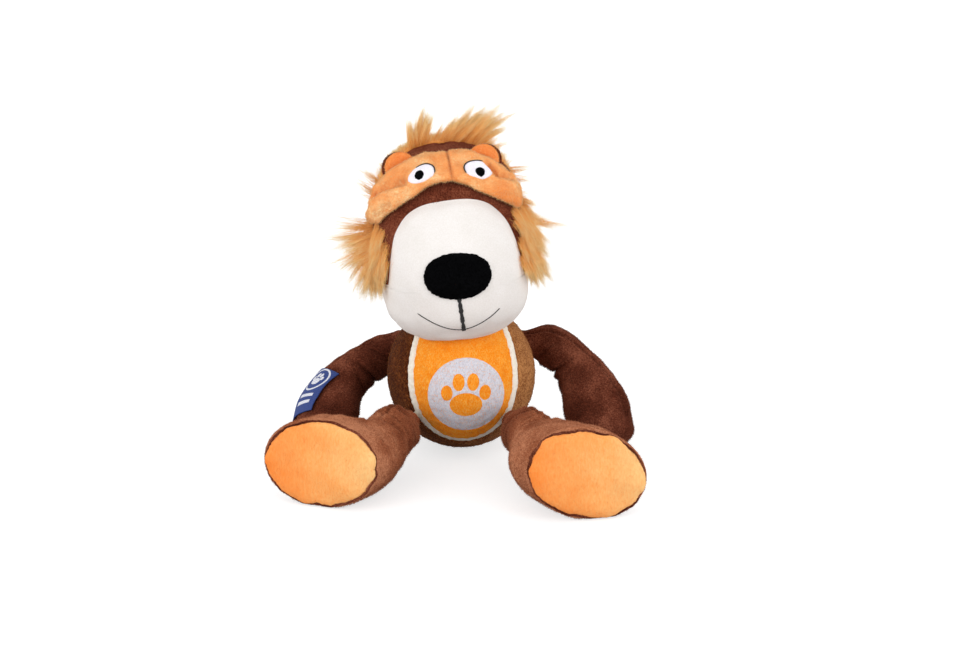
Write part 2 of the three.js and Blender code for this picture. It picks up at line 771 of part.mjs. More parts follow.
function maneLocks({ name, from, to }, grow) {
  const lengths = lockShares[name];
  const locks = lengths.map((share, lock) => {
    const turn = degrees(from + ((to - from) * lock) / (lengths.length - 1));
    return furLock(turn, lockLength * share, lockLeanShares[name], lockSagShares[name], grow);
  });
  return locks.reduce((all, one) => all.add(one));
}

for (const piece of manePieces) {
  const width = piece.side === 0 ? 2 * splitAt - gap : headSpan;
  const middle = piece.side * (splitAt + gap / 2 + headSpan / 2);
  const region = block(width, headSpan, headSpan, middle, 0, headHeight);
  let locks = maneLocks(piece, 0);
  if (piece.side === 0) {
    const others = manePieces.filter(({ side }) => side !== 0);
    locks = others.reduce((cut, other) => cut.subtract(maneLocks(other, gap)), locks);
    locks = locks.subtract(maneOver.subtract(region));
  } else {
    locks = locks.intersect(region);
  }
  const fur = maneLayer.intersect(region).add(locks);
  add(head, `mane_${piece.name}`, 'fur', fur.subtract(headClear).subtract(maskClear));
}

// Neck: a short rope from a stop knot under the ball's wall to the knot inside the head.
function knot(centre) {
  return ballShape(knotRadius, 8, 6, centre);
}

const neck = new THREE.Group();
neck.position.copy(ballCentre);
neck.rotation.copy(headTurn);
toy.add(neck);
add(neck, 'neck_knot', 'rope', knot(neckPivot));
const stopHeight = coreOuter - coreWall - knotRadius - 4 * gap;
const neckStart = neckPivot.z - knotRadius - gap;
const neckRope = new THREE.CylinderGeometry(ropeRadius, ropeRadius, neckStart - stopHeight, 10);
neckRope.rotateX(Math.PI / 2).translate(0, 0, (neckStart + stopHeight) / 2);
const stopKnot = knot(new THREE.Vector3(0, 0, stopHeight));
add(neck, 'neck_rope', 'rope', solid(neckRope).add(stopKnot));

// Limbs. A limb's rings follow a smooth path from its knot, and face along it or towards the sole.
// Path tables are shares of the limb's length; size tables are shares of its half width and thickness.
const armPathShares = {
  left: [
    [0, 0, 0], [0.16, -0.07, -0.095], [0.31, -0.165, -0.165],
    [0.44, -0.275, -0.27], [0.52, -0.41, -0.38], [0.56, -0.55, -0.48],
  ],
  right: [
    [0, 0, 0], [0.18, -0.05, -0.01], [0.34, -0.15, -0.08],
    [0.45, -0.26, -0.2], [0.53, -0.42, -0.34], [0.57, -0.58, -0.47],
  ],
};
const armThinShares = { left: [-0.55, -1, 0.1], right: [0.1, -1, 0.1] };
const armSizeShares = [[0.33, 0.52], [0.59, 0.78], [0.62, 0.86], [0.77, 0.96], [0.95, 1], [0.95, 0.92]];
const legPathShares = {
  left: [
    [0, 0, 0], [0.04, -0.11, 0.01], [0.09, -0.24, 0.01], [0.17, -0.42, -0.03],
    [0.29, -0.55, -0.02], [0.4, -0.63, 0], [0.46, -0.69, 0],
  ],
  right: [
    [0, 0, 0], [0.04, -0.12, 0], [0.11, -0.31, 0], [0.15, -0.47, -0.02],
    [0.22, -0.64, -0.01], [0.32, -0.78, 0], [0.39, -0.89, 0],
  ],
};
const legSizeShares = [
  [0.19, 0.26], [0.38, 0.52], [0.42, 0.56], [0.49, 0.66], [0.74, 0.86], [0.95, 0.98], [1, 1],
];
const soleYaw = { left: 22, right: 13 };
const soleRoll = { left: 4, right: 18 };
const soleLiftShare = 0.08;
const limbSideCount = 16;
const limbStepCount = 12;
const armTipShare = 0.8;
const rootAngles = [40, 70];
const armTipAngles = [30, 60];
const legTipAngles = [20, 50];
const tagShare = 0.74;

function curveOf(rows) {
  return new THREE.CatmullRomCurve3(rows.map(([x, y, z = 0]) => new THREE.Vector3(x, y, z)));
}

function ringFrame(limb, share) {
  const ahead = limb.facing ? limb.facing(share) : limb.path.getTangent(share);
  const wide = new THREE.Vector3().crossVectors(limb.thin, ahead).normalize();
  const thin = new THREE.Vector3().crossVectors(ahead, wide).normalize();
  return { centre: limb.path.getPoint(share), ahead, wide, thin };
}

function limbForm(limb, grow, around, along) {
  const rings = [];
  const ring = ({ centre, wide, thin }, halfWide, halfThin) => {
    const points = [];
    for (let side = 0; side < around; side += 1) {
      const turn = (2 * Math.PI * side) / around;
      const point = centre.clone().addScaledVector(wide, halfWide * Math.cos(turn));
      points.push(point.addScaledVector(thin, halfThin * Math.sin(turn)));
    }
    rings.push(points);
  };
  const first = ringFrame(limb, 0);
  const radius = rootRadius + grow;
  for (const angle of rootAngles) {
    const centre = first.centre.clone().addScaledVector(first.ahead, -radius * Math.cos(degrees(angle)));
    const out = radius * Math.sin(degrees(angle));
    ring({ ...first, centre }, out, out);
  }
  for (let step = 0; step <= along; step += 1) {
    const share = step / along;
    const size = limb.sizes.getPoint(share);
    ring(ringFrame(limb, share), limb.halfWide * size.x + grow, limb.halfThin * size.y + grow);
  }
  const last = ringFrame(limb, 1);
  const size = limb.sizes.getPoint(1);
  for (const angle of limb.tipAngles) {
    const depth = (limb.tip + grow) * Math.sin(degrees(angle));
    const shrink = Math.cos(degrees(angle));
    const centre = last.centre.clone().addScaledVector(last.ahead, depth);
    const halfWide = (limb.halfWide * size.x + grow) * shrink;
    ring({ ...last, centre }, halfWide, (limb.halfThin * size.y + grow) * shrink);
  }
  const start = first.centre.clone().addScaledVector(first.ahead, -radius);
  const end = last.centre.clone().addScaledVector(last.ahead, limb.tip + grow);
  return solid(loft(start, rings, end));
}

// Lowers the far end of a limb until the limb would sink into the floor by the cut.
function settled(limb) {
  const points = limb.path.points;
  for (let pass = 0; pass < 4; pass += 1) {
    const low = limbForm(limb, 0, limbSideCount, limbStepCount).boundingBox().min[2];
    points.forEach((point, place) => {
      point.z -= (low + restCut) * (place / (points.length - 1)) ** 1.5;
    });
  }
  return limb;
}

function limbPath(pivot, shares, length, side) {
  const place = ([out, back, rise]) => new THREE.Vector3(side * out, back, rise).multiplyScalar(length);
  return new THREE.CatmullRomCurve3(shares.map((row) => place(row).add(pivot)));
}

// The open mouth at a limb's root, where the rope comes in.
function rootMouth(pivot, direction) {
  const deep = 2 * rootRadius;
  const cone = new THREE.ConeGeometry(deep * Math.tan(degrees(mouthHalfAngle)), deep, 16);
  cone.translate(0, -deep / 2, 0);
  const turn = new THREE.Quaternion().setFromUnitVectors(new THREE.Vector3(0, 1, 0), direction);
  return solid(cone.applyQuaternion(turn).translate(...pivot.toArray()));
}

function addLimb(kind, name, limb, pivot, direction) {
  const mouth = rootMouth(pivot, direction);
  const pocket = ballShape(knotRadius + gap, 10, 6, pivot);
  const sleeve = limbForm(limb, 0, limbSideCount, limbStepCount).subtract(limbForm(limb, -fabric, 8, 7));
  add(toy, `${kind}_sleeve_${name}`, 'brownPlush', sleeve.subtract(mouth).subtract(pocket).subtract(floor));
  const stuffing = limbForm(limb, -fabric - gap, 8, 7).subtract(pocket).subtract(mouth);
  add(toy, `${kind}_stuffing_${name}`, 'fibre', stuffing);
  add(toy, kind === 'arm' ? `shoulder_knot_${name}` : `hip_knot_${name}`, 'rope', knot(pivot));
}

for (const [name, side] of sides) {
  const pivot = pivotOf(shoulderDirection, side);
  const arm = settled({
    path: limbPath(pivot, armPathShares[name], armLength, side),
    sizes: curveOf(armSizeShares),
    halfWide: armHalfWide,
    halfThin: armHalfThick,
    thin: new THREE.Vector3(...armThinShares[name]).normalize(),
    tip: armHalfThick * armTipShare,
    tipAngles: armTipAngles,
  });
  addLimb('arm', name, arm, pivot, mirrored(shoulderDirection, side));
  if (side < 0) {
    const { centre, ahead, wide } = ringFrame(arm, tagShare);
    const flap = new THREE.Shape([
      new THREE.Vector2(-tagWidth * 2, -tagLength / 2),
      new THREE.Vector2(-armHalfWide + tagWidth, -tagLength / 2),
      new THREE.Vector2(-armHalfWide + tagWidth, tagLength / 2),
      new THREE.Vector2(-tagWidth * 2, tagLength / 2),
    ]);
    const outer = limbForm(arm, gap + tagThick, limbSideCount, limbStepCount);
    const layer = outer.subtract(limbForm(arm, gap, limbSideCount, limbStepCount));
    const window = prismAlong(flap, centre, wide, ahead, -overrun, overrun);
    add(toy, 'side_tag', 'ribbon', layer.intersect(window));
  }
}

for (const [name, side] of sides) {
  const direction = mirrored(hipDirection, side);
  const pivot = pivotOf(hipDirection, side);
  const yaw = degrees(soleYaw[name]) * side;
  const roll = degrees(soleRoll[name]) * side;
  const toSole = new THREE.Vector3(Math.sin(yaw), -Math.cos(yaw), soleLiftShare).normalize();
  const leg = settled({
    path: limbPath(pivot, legPathShares[name], legLength, side),
    sizes: curveOf(legSizeShares),
    halfWide: footHalfLong,
    halfThin: footHalfHigh,
    thin: new THREE.Vector3(Math.sin(roll), 0, Math.cos(roll)),
    facing: (share) => direction.clone().lerp(toSole, Math.min(1, 2 * share)).normalize(),
    tip: soleCrown,
    tipAngles: legTipAngles,
  });
  addLimb('leg', name, leg, pivot, direction);
  const { centre, wide, thin } = ringFrame(leg, 1);
  const pad = oval(footHalfLong - soleRim, footHalfHigh - soleRim);
  const outer = limbForm(leg, gap + solePad, limbSideCount, limbStepCount);
  const layer = outer.subtract(limbForm(leg, gap, limbSideCount, limbStepCount));
  add(toy, `sole_${name}`, 'orangePlush', layer.intersect(prismAlong(pad, centre, wide, thin, 0, overrun)));
}

export default toy;
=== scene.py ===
import json
import math

import bmesh
import bpy
import numpy as np
from mathutils import Matrix, Vector
from mathutils.bvhtree import BVHTree

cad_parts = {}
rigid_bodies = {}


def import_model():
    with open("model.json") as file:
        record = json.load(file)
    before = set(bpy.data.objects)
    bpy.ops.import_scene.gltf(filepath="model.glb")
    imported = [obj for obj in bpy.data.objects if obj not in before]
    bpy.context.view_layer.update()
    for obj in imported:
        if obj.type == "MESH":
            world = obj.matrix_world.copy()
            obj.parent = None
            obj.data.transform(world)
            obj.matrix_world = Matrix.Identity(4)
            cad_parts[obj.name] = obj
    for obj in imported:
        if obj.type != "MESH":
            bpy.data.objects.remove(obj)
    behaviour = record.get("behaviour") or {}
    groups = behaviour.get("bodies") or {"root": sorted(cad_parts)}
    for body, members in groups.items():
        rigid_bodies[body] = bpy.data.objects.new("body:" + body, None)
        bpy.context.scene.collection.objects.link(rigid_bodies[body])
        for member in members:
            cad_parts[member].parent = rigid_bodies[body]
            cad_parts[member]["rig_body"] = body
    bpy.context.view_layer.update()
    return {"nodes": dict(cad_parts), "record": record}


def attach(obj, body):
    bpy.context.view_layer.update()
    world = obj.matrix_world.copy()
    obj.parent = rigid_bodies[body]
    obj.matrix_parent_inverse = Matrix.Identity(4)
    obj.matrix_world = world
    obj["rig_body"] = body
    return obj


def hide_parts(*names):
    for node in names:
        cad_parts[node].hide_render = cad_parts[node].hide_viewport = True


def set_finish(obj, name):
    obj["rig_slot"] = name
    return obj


# Looks of a seated plush lion whose body is a felt-covered ball.
# Lengths are in millimetres until a mesh is made. The frame is the part's own: +Z up, the face towards -Y.
# Left and right are as seen from the front, so left is -X.

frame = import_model()

MM = 0.001
UP = np.array([0.0, 0.0, 1.0])

# Driving sizes of the part
GAP = 0.3
BALL_RADIUS = 32.5
REST_RADIUS = 5
FELT_THICK = 2.2
SEAM_WIDTH = 2.6
PATTERN_LEAN = 13.8
PATTERN_YAW = 2.9
FABRIC = 1.2
SEAT_CLEARANCE = 0.8
PILE_ROOM = 1.8
NOD_RANGE = 18
HEAD_HEIGHT = 83
HEAD_HALF_WIDTH = 33
HEAD_FRONT = 44.5
HEAD_BACK = 28.5
HEAD_BOTTOM = 20.5
HEAD_FULLNESS = 2.3
SIDE_SEAM_BACK = 3
BROW_BACK = 9
ARCH_TOP = 86
ARCH_HEIGHT = 51
ARCH_HALF_WIDTH = 28.9
ARCH_ROUND = 1.8
NOSE_HALF_WIDTH = 14.2
NOSE_HALF_HEIGHT = 9.8
NOSE_HEIGHT = 56
NOSE_PROUD = 2.8
PHILTRUM_WIDTH = 1.9
MOUTH_HEIGHT = 31.5
MOUTH_HALF_SPAN = 18
MOUTH_DIP = 9
MASK_THICK = 4
MASK_LINING = 0.9
MASK_HALF_HEIGHT = 11
MASK_HEIGHT = 96
MASK_DROP = 22.5
MASK_REACH = 71
MASK_TURN = -2.5
EYE_HALF_LENGTH = 6.0
EYE_HALF_HEIGHT = 3.9
PUPIL_RADIUS = 2.05
EAR_RADIUS = 6.5
EAR_HEIGHT = 4
EAR_THICK = 1.6
EAR_ANGLE = 46
EAR_SPLAY = 22
MANE_WIDTH = 12
MANE_SPLIT = 35
MANE_END = 118
ROOT_RADIUS = 4.9
ARM_LENGTH = 60
ARM_HALF_WIDE = 15
ARM_HALF_THICK = 9.5
LEG_LENGTH = 74
FOOT_HALF_LONG = 26
FOOT_HALF_HIGH = 19
SOLE_CROWN = 3
SOLE_PAD = 1.4
SOLE_RIM = 2.0
REST_CUT = 0.5
TAG_WIDTH = 15
TAG_LENGTH = 21

# How meshes are made: welding distance, reach of rays, waves in a random height, threads, and short pile
WELD = 0.02
RAY_REACH = 40.0
LUMP_WAVES = 10
THREAD_SIDES = 6
PILE_LEAN = 0.6
PILE_BEND = 0.25
PILE_SPREAD = 0.45
PILE_SINK = 0.1

joints = {joint["name"]: joint for joint in frame["record"]["behaviour"]["joints"]}
SIDES = (("left", -1), ("right", 1))


def joint_place(name):
    """The place of a joint of the record, in millimetres."""
    return np.array(joints[name]["pos_m"]) / MM


def joint_axis(name):
    """The direction of a joint of the record."""
    return unit(np.array(joints[name]["axis"], float))


def unit(vector):
    """Vectors at length 1."""
    vector = np.asarray(vector, float)
    return vector / np.maximum(np.linalg.norm(vector, axis=-1, keepdims=True), 1e-12)


def power(value, exponent):
    """A power that keeps the sign of its value."""
    return np.sign(value) * np.abs(value) ** exponent


ball_centre = np.array([0, 0, math.sqrt(BALL_RADIUS**2 - REST_RADIUS**2)])
head_across = -joint_axis("neck_nod")
head_up = joint_axis("neck_turn")
head_turn = np.column_stack([head_across, np.cross(head_up, head_across), head_up])


def head_to_world(points):
    """Points of the head's own frame, in the part's frame."""
    return np.asarray(points) @ head_turn.T + ball_centre


# Colours and materials


def seen(*shades):
    """Colours given as they are seen, from 0 to 255, in the scene's own linear scale."""
    shares = np.array(shades) / 255
    linear = np.where(shares <= 0.04045, shares / 12.92, ((shares + 0.055) / 1.055) ** 2.4)
    return [(*shade, 1.0) for shade in linear]


def per_metre(size):
    """The noise scale that gives grains of a size in millimetres."""
    return 1 / (size * MM)


class Shader:
    """The nodes of a material or world, added and linked by short calls."""

    def __init__(self, owner, surface="Principled BSDF"):
        owner.use_nodes = True
        self.owner = owner
        self.tree = owner.node_tree
        self.surface = self.tree.nodes[surface]

    def add(self, kind, inputs=None, **settings):
        node = self.tree.nodes.new("ShaderNode" + kind)
        for key, value in settings.items():
            setattr(node, key, value)
        for key, value in (inputs or {}).items():
            self.put(node.inputs[key], value)
        return node

    def put(self, socket, value):
        if isinstance(value, bpy.types.NodeSocket):
            self.tree.links.new(value, socket)
        else:
            socket.default_value = value

    def set(self, **inputs):
        for key, value in inputs.items():
            self.put(self.surface.inputs[key.replace("_", " ")], value)

    def place(self, squash=None):
        """Places on the object, with the grain drawn out upwards where squash is given."""
        place = self.add("TexCoord").outputs["Object"]
        if squash is None:
            return place
        return self.add("Mapping", {"Vector": place, "Scale": (1.0, 1.0, squash)}).outputs["Vector"]

    def along(self, axis):
        """How far a point lies along its piece, from 0 to 1."""
        whole = self.add("TexCoord").outputs["Generated"]
        return self.add("SeparateXYZ", {"Vector": whole}).outputs[axis]

    def noise(self, place, size, detail=2.0, rough=0.5):
        inputs = {"Vector": place, "Scale": per_metre(size), "Detail": detail, "Roughness": rough}
        return self.add("TexNoise", inputs).outputs["Fac"]

    def math(self, operation, *values):
        node = self.add("Math", operation=operation)
        for socket, value in zip(node.inputs, values):
            self.put(socket, value)
        return node.outputs[0]

    def mixed(self, first, second, share):
        """The first value, with a share of it given over to the second."""
        return self.math("MULTIPLY_ADD", first, 1 - share, self.math("MULTIPLY", second, share))

    def lean(self, share, value, middle, weight):
        """Adds a value's distance from its middle to a share."""
        return self.math("MULTIPLY_ADD", self.math("SUBTRACT", value, middle), weight, share)

    def blend(self, share, first, second):
        node = self.add("Mix", data_type="RGBA")
        for socket, value in zip((node.inputs[0], node.inputs[6], node.inputs[7]), (share, first, second)):
            self.put(socket, value)
        return node.outputs[2]

    def ramp(self, share, places, shades):
        node = self.add("ValToRGB", {"Fac": share})
        elements = node.color_ramp.elements
        while len(elements) < len(places):
            elements.new(0.5)
        for element, place, shade in zip(elements, places, shades):
            element.position = place
            element.color = shade
        return node.outputs["Color"]

    def bump(self, height, distance, strength):
        inputs = {"Height": height, "Distance": distance * MM, "Strength": strength}
        return self.add("Bump", inputs).outputs["Normal"]

    def coat(self, paint, normal, **more):
        """Gives the surface its colour and relief, and returns the material."""
        self.set(Base_Color=paint, Normal=normal, **more)
        return self.owner


def material(name):
    """A new material, ready for its nodes."""
    return Shader(bpy.data.materials.new(name))


MATT = {"Roughness": 0.95, "Specular_IOR_Level": 0.05}


def plush(name, shades, mottle=9, depth=0.3, sheen=0.35, cloud=0.3, painted_back_shade=0.0):
    """Short plush: clouds from the lie of its pile, a fine grain, a sheen where it turns away and, where
    asked for, painted shade towards its back.
    """
    shader = material(name)
    place = shader.place()
    fine = shader.noise(place, 0.6, 3, 0.65)
    share = shader.mixed(fine, shader.noise(place, mottle), cloud)
    # painted shade: the plush is darkened towards the back of its piece, where shade falls
    share = shader.lean(share, shader.along("Y"), 0.45, -painted_back_shade)
    paint = shader.ramp(share, (0.36, 0.5, 0.63), shades)
    gloss = {"Sheen_Weight": sheen, "Sheen_Roughness": 0.3, "Sheen_Tint": shades[-1]}
    return shader.coat(paint, shader.bump(fine, depth, 0.7), **MATT, **gloss)


def nap(name, shades):
    """Napped plush with a fine upright grain, painted paler from one side to the other as painted light."""
    shader = material(name)
    fine = shader.noise(shader.place(squash=0.3), 0.7, 3, 0.6)
    # painted light: the colour grows paler towards +X, the side where the key lamp falls
    share = shader.mixed(shader.along("X"), shader.noise(shader.place(), 13), 0.4)
    share = shader.lean(share, fine, 0.5, 0.5)
    paint = shader.ramp(share, (0.15, 0.5, 0.85), shades)
    gloss = {"Sheen_Weight": 0.1, "Sheen_Roughness": 0.5, "Sheen_Tint": shades[-1]}
    return shader.coat(paint, shader.bump(fine, 0.3, 0.6), **MATT, **gloss)


def fibre_paint(name, shades, sheen=0.0, rough=0.75, gloss=0.08, through=0.0):
    """Fibres: the map's first direction runs from root to tip, and its second differs from fibre to fibre.

    Pale fur glows a little in its own colour: a painted glow in place of the light that would pass through
    it.
    """
    shader = material(name)
    split = shader.add("SeparateXYZ", {"Vector": shader.add("UVMap").outputs["UV"]}).outputs
    paint = shader.ramp(shader.mixed(split["Y"], split["X"], 0.66), (0.08, 0.38, 0.78), shades)
    shader.set(Base_Color=paint, Roughness=rough, Specular_IOR_Level=gloss)
    shader.set(Sheen_Weight=sheen, Sheen_Roughness=0.6, Sheen_Tint=shades[-1])
    # painted light: the fibres glow with their own colour, as strongly as through gives
    shader.set(Emission_Color=paint, Emission_Strength=through)
    return shader.owner


def felt(name, shades, side=0.0, print_on=False):
    """Felt: flecks of lighter and darker fibres, with painted light that makes it paler towards one side, and
    an optional print.
    """
    shader = material(name)
    flecks = shader.noise(shader.place(squash=0.45), 0.45, 3, 0.65)
    share = shader.mixed(flecks, shader.noise(shader.place(), 7), 0.2)
    # painted light: side makes the felt paler towards +X, where the key lamp falls
    paint = shader.ramp(shader.lean(share, shader.along("X"), 0.5, side), (0.35, 0.5, 0.65), shades)
    if print_on:
        paint = printed(shader, paint, flecks)
    gloss = {"Specular_IOR_Level": 0.04, "Sheen_Weight": 0.04, "Sheen_Roughness": 0.5}
    return shader.coat(paint, shader.bump(flecks, 0.45, 0.8), Roughness=0.95, **gloss)


PRINT_CENTRE = (2.4, 31.7)
PRINT_RADIUS = 16.4
PRINT_WEAR = 0.08
PRINT_GREYS = seen((196, 195, 206), (228, 226, 234))

# The paw's pad and toes: place across and up, half width and half height
PAW = (
    (0.0, -3.6, 7.0, 5.4),
    (-8.2, 1.6, 2.5, 3.4),
    (-3.1, 6.4, 2.6, 3.7),
    (3.1, 6.4, 2.6, 3.7),
    (8.2, 1.6, 2.5, 3.4),
)


def printed(shader, paint, flecks):
    """A round grey print on the front of the ball, with a paw left open in it."""
    right, back, rise = shader.add("SeparateXYZ", {"Vector": shader.place()}).outputs

    def square(value, middle, half):
        share = shader.math("DIVIDE", shader.math("SUBTRACT", value, middle * MM), half * MM)
        return shader.math("POWER", share, 2.0)

    def oval(x, z, half_wide, half_high):
        across = square(right, PRINT_CENTRE[0] + x, half_wide)
        reach = shader.math("ADD", across, square(rise, PRINT_CENTRE[1] + z, half_high))
        worn = shader.math("MULTIPLY_ADD", flecks, PRINT_WEAR, reach)
        return shader.math("LESS_THAN", worn, 1 + PRINT_WEAR / 2)

    front = shader.math("LESS_THAN", back, -BALL_RADIUS * MM / 3)
    disc = shader.math("MULTIPLY", oval(0, 0, PRINT_RADIUS, PRINT_RADIUS), front)
    paw = 0.0
    for part in PAW:
        paw = shader.math("MAXIMUM", paw, oval(*part))
    ink = shader.math("MULTIPLY", disc, shader.math("SUBTRACT", 1.0, paw))
    return shader.blend(ink, paint, shader.ramp(flecks, (0.3, 0.6), PRINT_GREYS))


def rubber(name, shades, grain=1.2):
    """Rubber or plastic with a fine uneven tone."""
    shader = material(name)
    fine = shader.noise(shader.place(), grain, 3)
    return shader.coat(shader.ramp(fine, (0.3, 0.7), shades), shader.bump(fine, 0.15, 0.5), Roughness=0.7)


def weave(name, shades, pitch=0.3, rough=0.6, sheen=0.1):
    """A woven band: crossing threads of one pitch."""
    shader = material(name)
    wave = {"Vector": shader.place(), "Scale": per_metre(pitch) / 6.3, "Distortion": 0.4, "Detail": 1.0}
    warp, weft = (shader.add("TexWave", wave, bands_direction=axis).outputs["Fac"] for axis in "XZ")
    crossing = shader.math("MULTIPLY", shader.math("ADD", warp, weft), 0.5)
    paint = shader.ramp(crossing, (0.2, 0.8), shades)
    return shader.coat(paint, shader.bump(crossing, 0.12, 0.6), Roughness=rough, Sheen_Weight=sheen)


BROWN = seen((56, 22, 12), (96, 47, 32), (146, 86, 64))
HEAD_BROWN = seen((68, 29, 17), (108, 52, 35), (146, 86, 62))
# painted light: the legs' brown is the arms' brown plush made lighter, as lit, for legs that face the light
LIT_LEG_BROWN = seen((96, 46, 28), (148, 84, 55), (190, 126, 92))
ORANGE = seen((245, 146, 76), (253, 178, 110), (255, 224, 170))
EAR = seen((241, 134, 64), (250, 156, 86), (254, 188, 118))
EAR_PILE = seen((243, 138, 68), (251, 160, 92), (254, 194, 128))
SOLE = seen((250, 140, 62), (251, 170, 96), (252, 202, 134))
SOLE_PILE = seen((251, 158, 82), (252, 180, 110), (253, 204, 142))
WHITE = seen((233, 228, 223), (238, 233, 229), (242, 238, 235))
EYE_WHITE = seen((236, 229, 240), (243, 238, 247), (250, 247, 252))
BLACK = seen((1, 1, 2), (3, 3, 4), (7, 7, 9))
STUFFING = seen((225, 222, 216), (240, 238, 234), (250, 249, 247))
FUR = seen((198, 102, 30), (246, 174, 84), (255, 228, 170))
ORANGE_FELT = seen((250, 128, 14), (255, 154, 36), (255, 190, 92))
ORANGE_FUZZ = seen((248, 132, 20), (254, 164, 46), (255, 210, 120))
BROWN_FELT = seen((60, 22, 6), (118, 64, 28), (190, 130, 78))
BROWN_FUZZ = seen((80, 34, 10), (128, 68, 28), (196, 134, 76))
paints = {
    "brown": plush("brown_plush", BROWN, mottle=14, cloud=0.45, sheen=0.7),
    "head_brown": plush("head_plush", HEAD_BROWN),
    # painted shade: the legs' plush grows darker towards the back of each leg
    "leg_brown": plush("leg_plush", LIT_LEG_BROWN, mottle=15, cloud=0.5, sheen=0.6, painted_back_shade=0.2),
    "orange": plush("orange_plush", ORANGE, mottle=12, cloud=0.6, sheen=0.8),
    "ear": plush("ear_plush", EAR),
    # painted light: the soles are painted paler towards their right, lit side
    "sole": nap("sole_plush", SOLE),
    "white": plush("white_plush", WHITE, depth=0.1, sheen=0.1),
    "eye_white": plush("eye_plush", EYE_WHITE, depth=0.1),
    "black": plush("black_plush", BLACK, sheen=0.0),
    "fibre": plush("stuffing_fibre", STUFFING),
    "orange_felt": felt("orange_felt", ORANGE_FELT, print_on=True),
    # painted light: the brown felt is painted paler on its right, lit side
    "brown_felt": felt("brown_felt", BROWN_FELT, side=0.28),
    "seam": rubber("seam_cream", seen((232, 222, 204), (248, 243, 232))),
    "rubber": rubber("core_rubber", seen((40, 38, 36), (58, 55, 52))),
    "squeaker": rubber("squeaker_plastic", seen((228, 228, 224), (242, 242, 238)), grain=4),
    "rope": weave("rope_cotton", seen((190, 178, 156), (226, 216, 196)), pitch=0.9, rough=0.9),
    "ribbon": weave("blue_ribbon", seen((20, 44, 104), (34, 64, 138)), sheen=0.0),
    "mark": weave("white_weave", seen((196, 200, 214), (240, 240, 246))),
    "thread": weave("black_thread", seen((8, 8, 9), (30, 28, 30)), rough=0.7),
    # painted light: the mane's fur glows a little, though it is no lamp
    "mane": fibre_paint("mane_fur", FUR, sheen=1.0, through=0.14),
    "brown_pile": fibre_paint("brown_pile", BROWN),
    "head_brown_pile": fibre_paint("head_pile", HEAD_BROWN),
    # painted light: the legs' pile takes the lighter, lit copy of the brown
    "leg_brown_pile": fibre_paint("leg_pile", LIT_LEG_BROWN),
    "orange_pile": fibre_paint("orange_pile", ORANGE),
    "ear_pile": fibre_paint("ear_pile", EAR_PILE),
    "sole_pile": fibre_paint("sole_pile", SOLE_PILE),
    "black_pile": fibre_paint("black_pile", BLACK, rough=0.95, gloss=0.0),
    "brown_fuzz": fibre_paint("brown_fuzz", BROWN_FUZZ),
    "orange_fuzz": fibre_paint("orange_fuzz", ORANGE_FUZZ),
}


# Meshes


def make(name, points, faces, paint, slot, body, uv=None):
    """A piece from its points in millimetres and lists of faces with equal corners."""
    mesh = bpy.data.meshes.new(name)
    points = np.asarray(points, float).reshape(-1, 3) * MM
    corners = np.concatenate([np.asarray(rows, np.int32).ravel() for rows in faces])
    sizes = np.concatenate([np.full(len(rows), len(rows[0]), np.int32) for rows in faces])
    mesh.vertices.add(len(points))
    mesh.vertices.foreach_set("co", points.ravel())
    mesh.loops.add(len(corners))
    mesh.loops.foreach_set("vertex_index", corners)
    mesh.polygons.add(len(sizes))
    mesh.polygons.foreach_set("loop_start", np.cumsum(sizes) - sizes)
    mesh.update(calc_edges=True)
    if uv is not None:
        layer = mesh.uv_layers.new(name="UVMap")
        layer.data.foreach_set("uv", np.asarray(uv, np.float32)[corners].ravel())
    mesh.polygons.foreach_set("use_smooth", np.ones(len(sizes), bool))
    mesh.materials.append(paints[paint])
    piece = bpy.data.objects.new(name, mesh)
    bpy.context.scene.collection.objects.link(piece)
    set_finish(piece, slot)
    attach(piece, body)
    return piece


def stuffed(piece, node, **stuffing):
    """Hides the plain solid of the part whose place a stuffed piece takes."""
    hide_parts(node)


def grid_faces(rows, columns, closed=False):
    """The four-cornered faces of a grid of points."""
    row, column = np.meshgrid(np.arange(rows - 1), np.arange(columns - (0 if closed else 1)), indexing="ij")
    here = row * columns + column
    beside = row * columns + (column + 1) % columns
    return np.stack([here, beside, beside + columns, here + columns], -1).reshape(-1, 4)


def fan(hub, start, around, forward):
    """The three-cornered faces from one point to a ring of points."""
    side = start + np.arange(around)
    after = np.roll(side, -1)
    corners = (side, after) if forward else (after, side)
    return np.stack([np.full(around, hub), *corners], -1)


def loft(name, rings, start, end, *finish):
    """A closed surface through rings of points, with a point at each end."""
    rings = np.asarray(rings)
    count, around = rings.shape[:2]
    points = np.vstack([start[None], rings.reshape(-1, 3), end[None]])
    caps = fan(0, 1, around, False), fan(len(points) - 1, len(points) - 1 - around, around, True)
    return make(name, points, [grid_faces(count, around, True) + 1, *caps], *finish)


def tidy(piece):
    """Welds points that meet and drops faces without area and points without a face."""
    work = bmesh.new()
    work.from_mesh(piece.data)
    bmesh.ops.remove_doubles(work, verts=work.verts, dist=WELD * MM)
    bmesh.ops.dissolve_degenerate(work, edges=work.edges, dist=WELD * MM)
    loose = [point for point in work.verts if not point.link_faces]
    bmesh.ops.delete(work, geom=loose, context="VERTS")
    bmesh.ops.recalc_face_normals(work, faces=work.faces)
    work.to_mesh(piece.data)
    work.free()


def thicken(piece, thickness):
    """Gives a sheet its thickness, inwards."""
    solid = piece.modifiers.new("Thickness", "SOLIDIFY")
    solid.thickness = thickness * MM
    solid.offset = -1


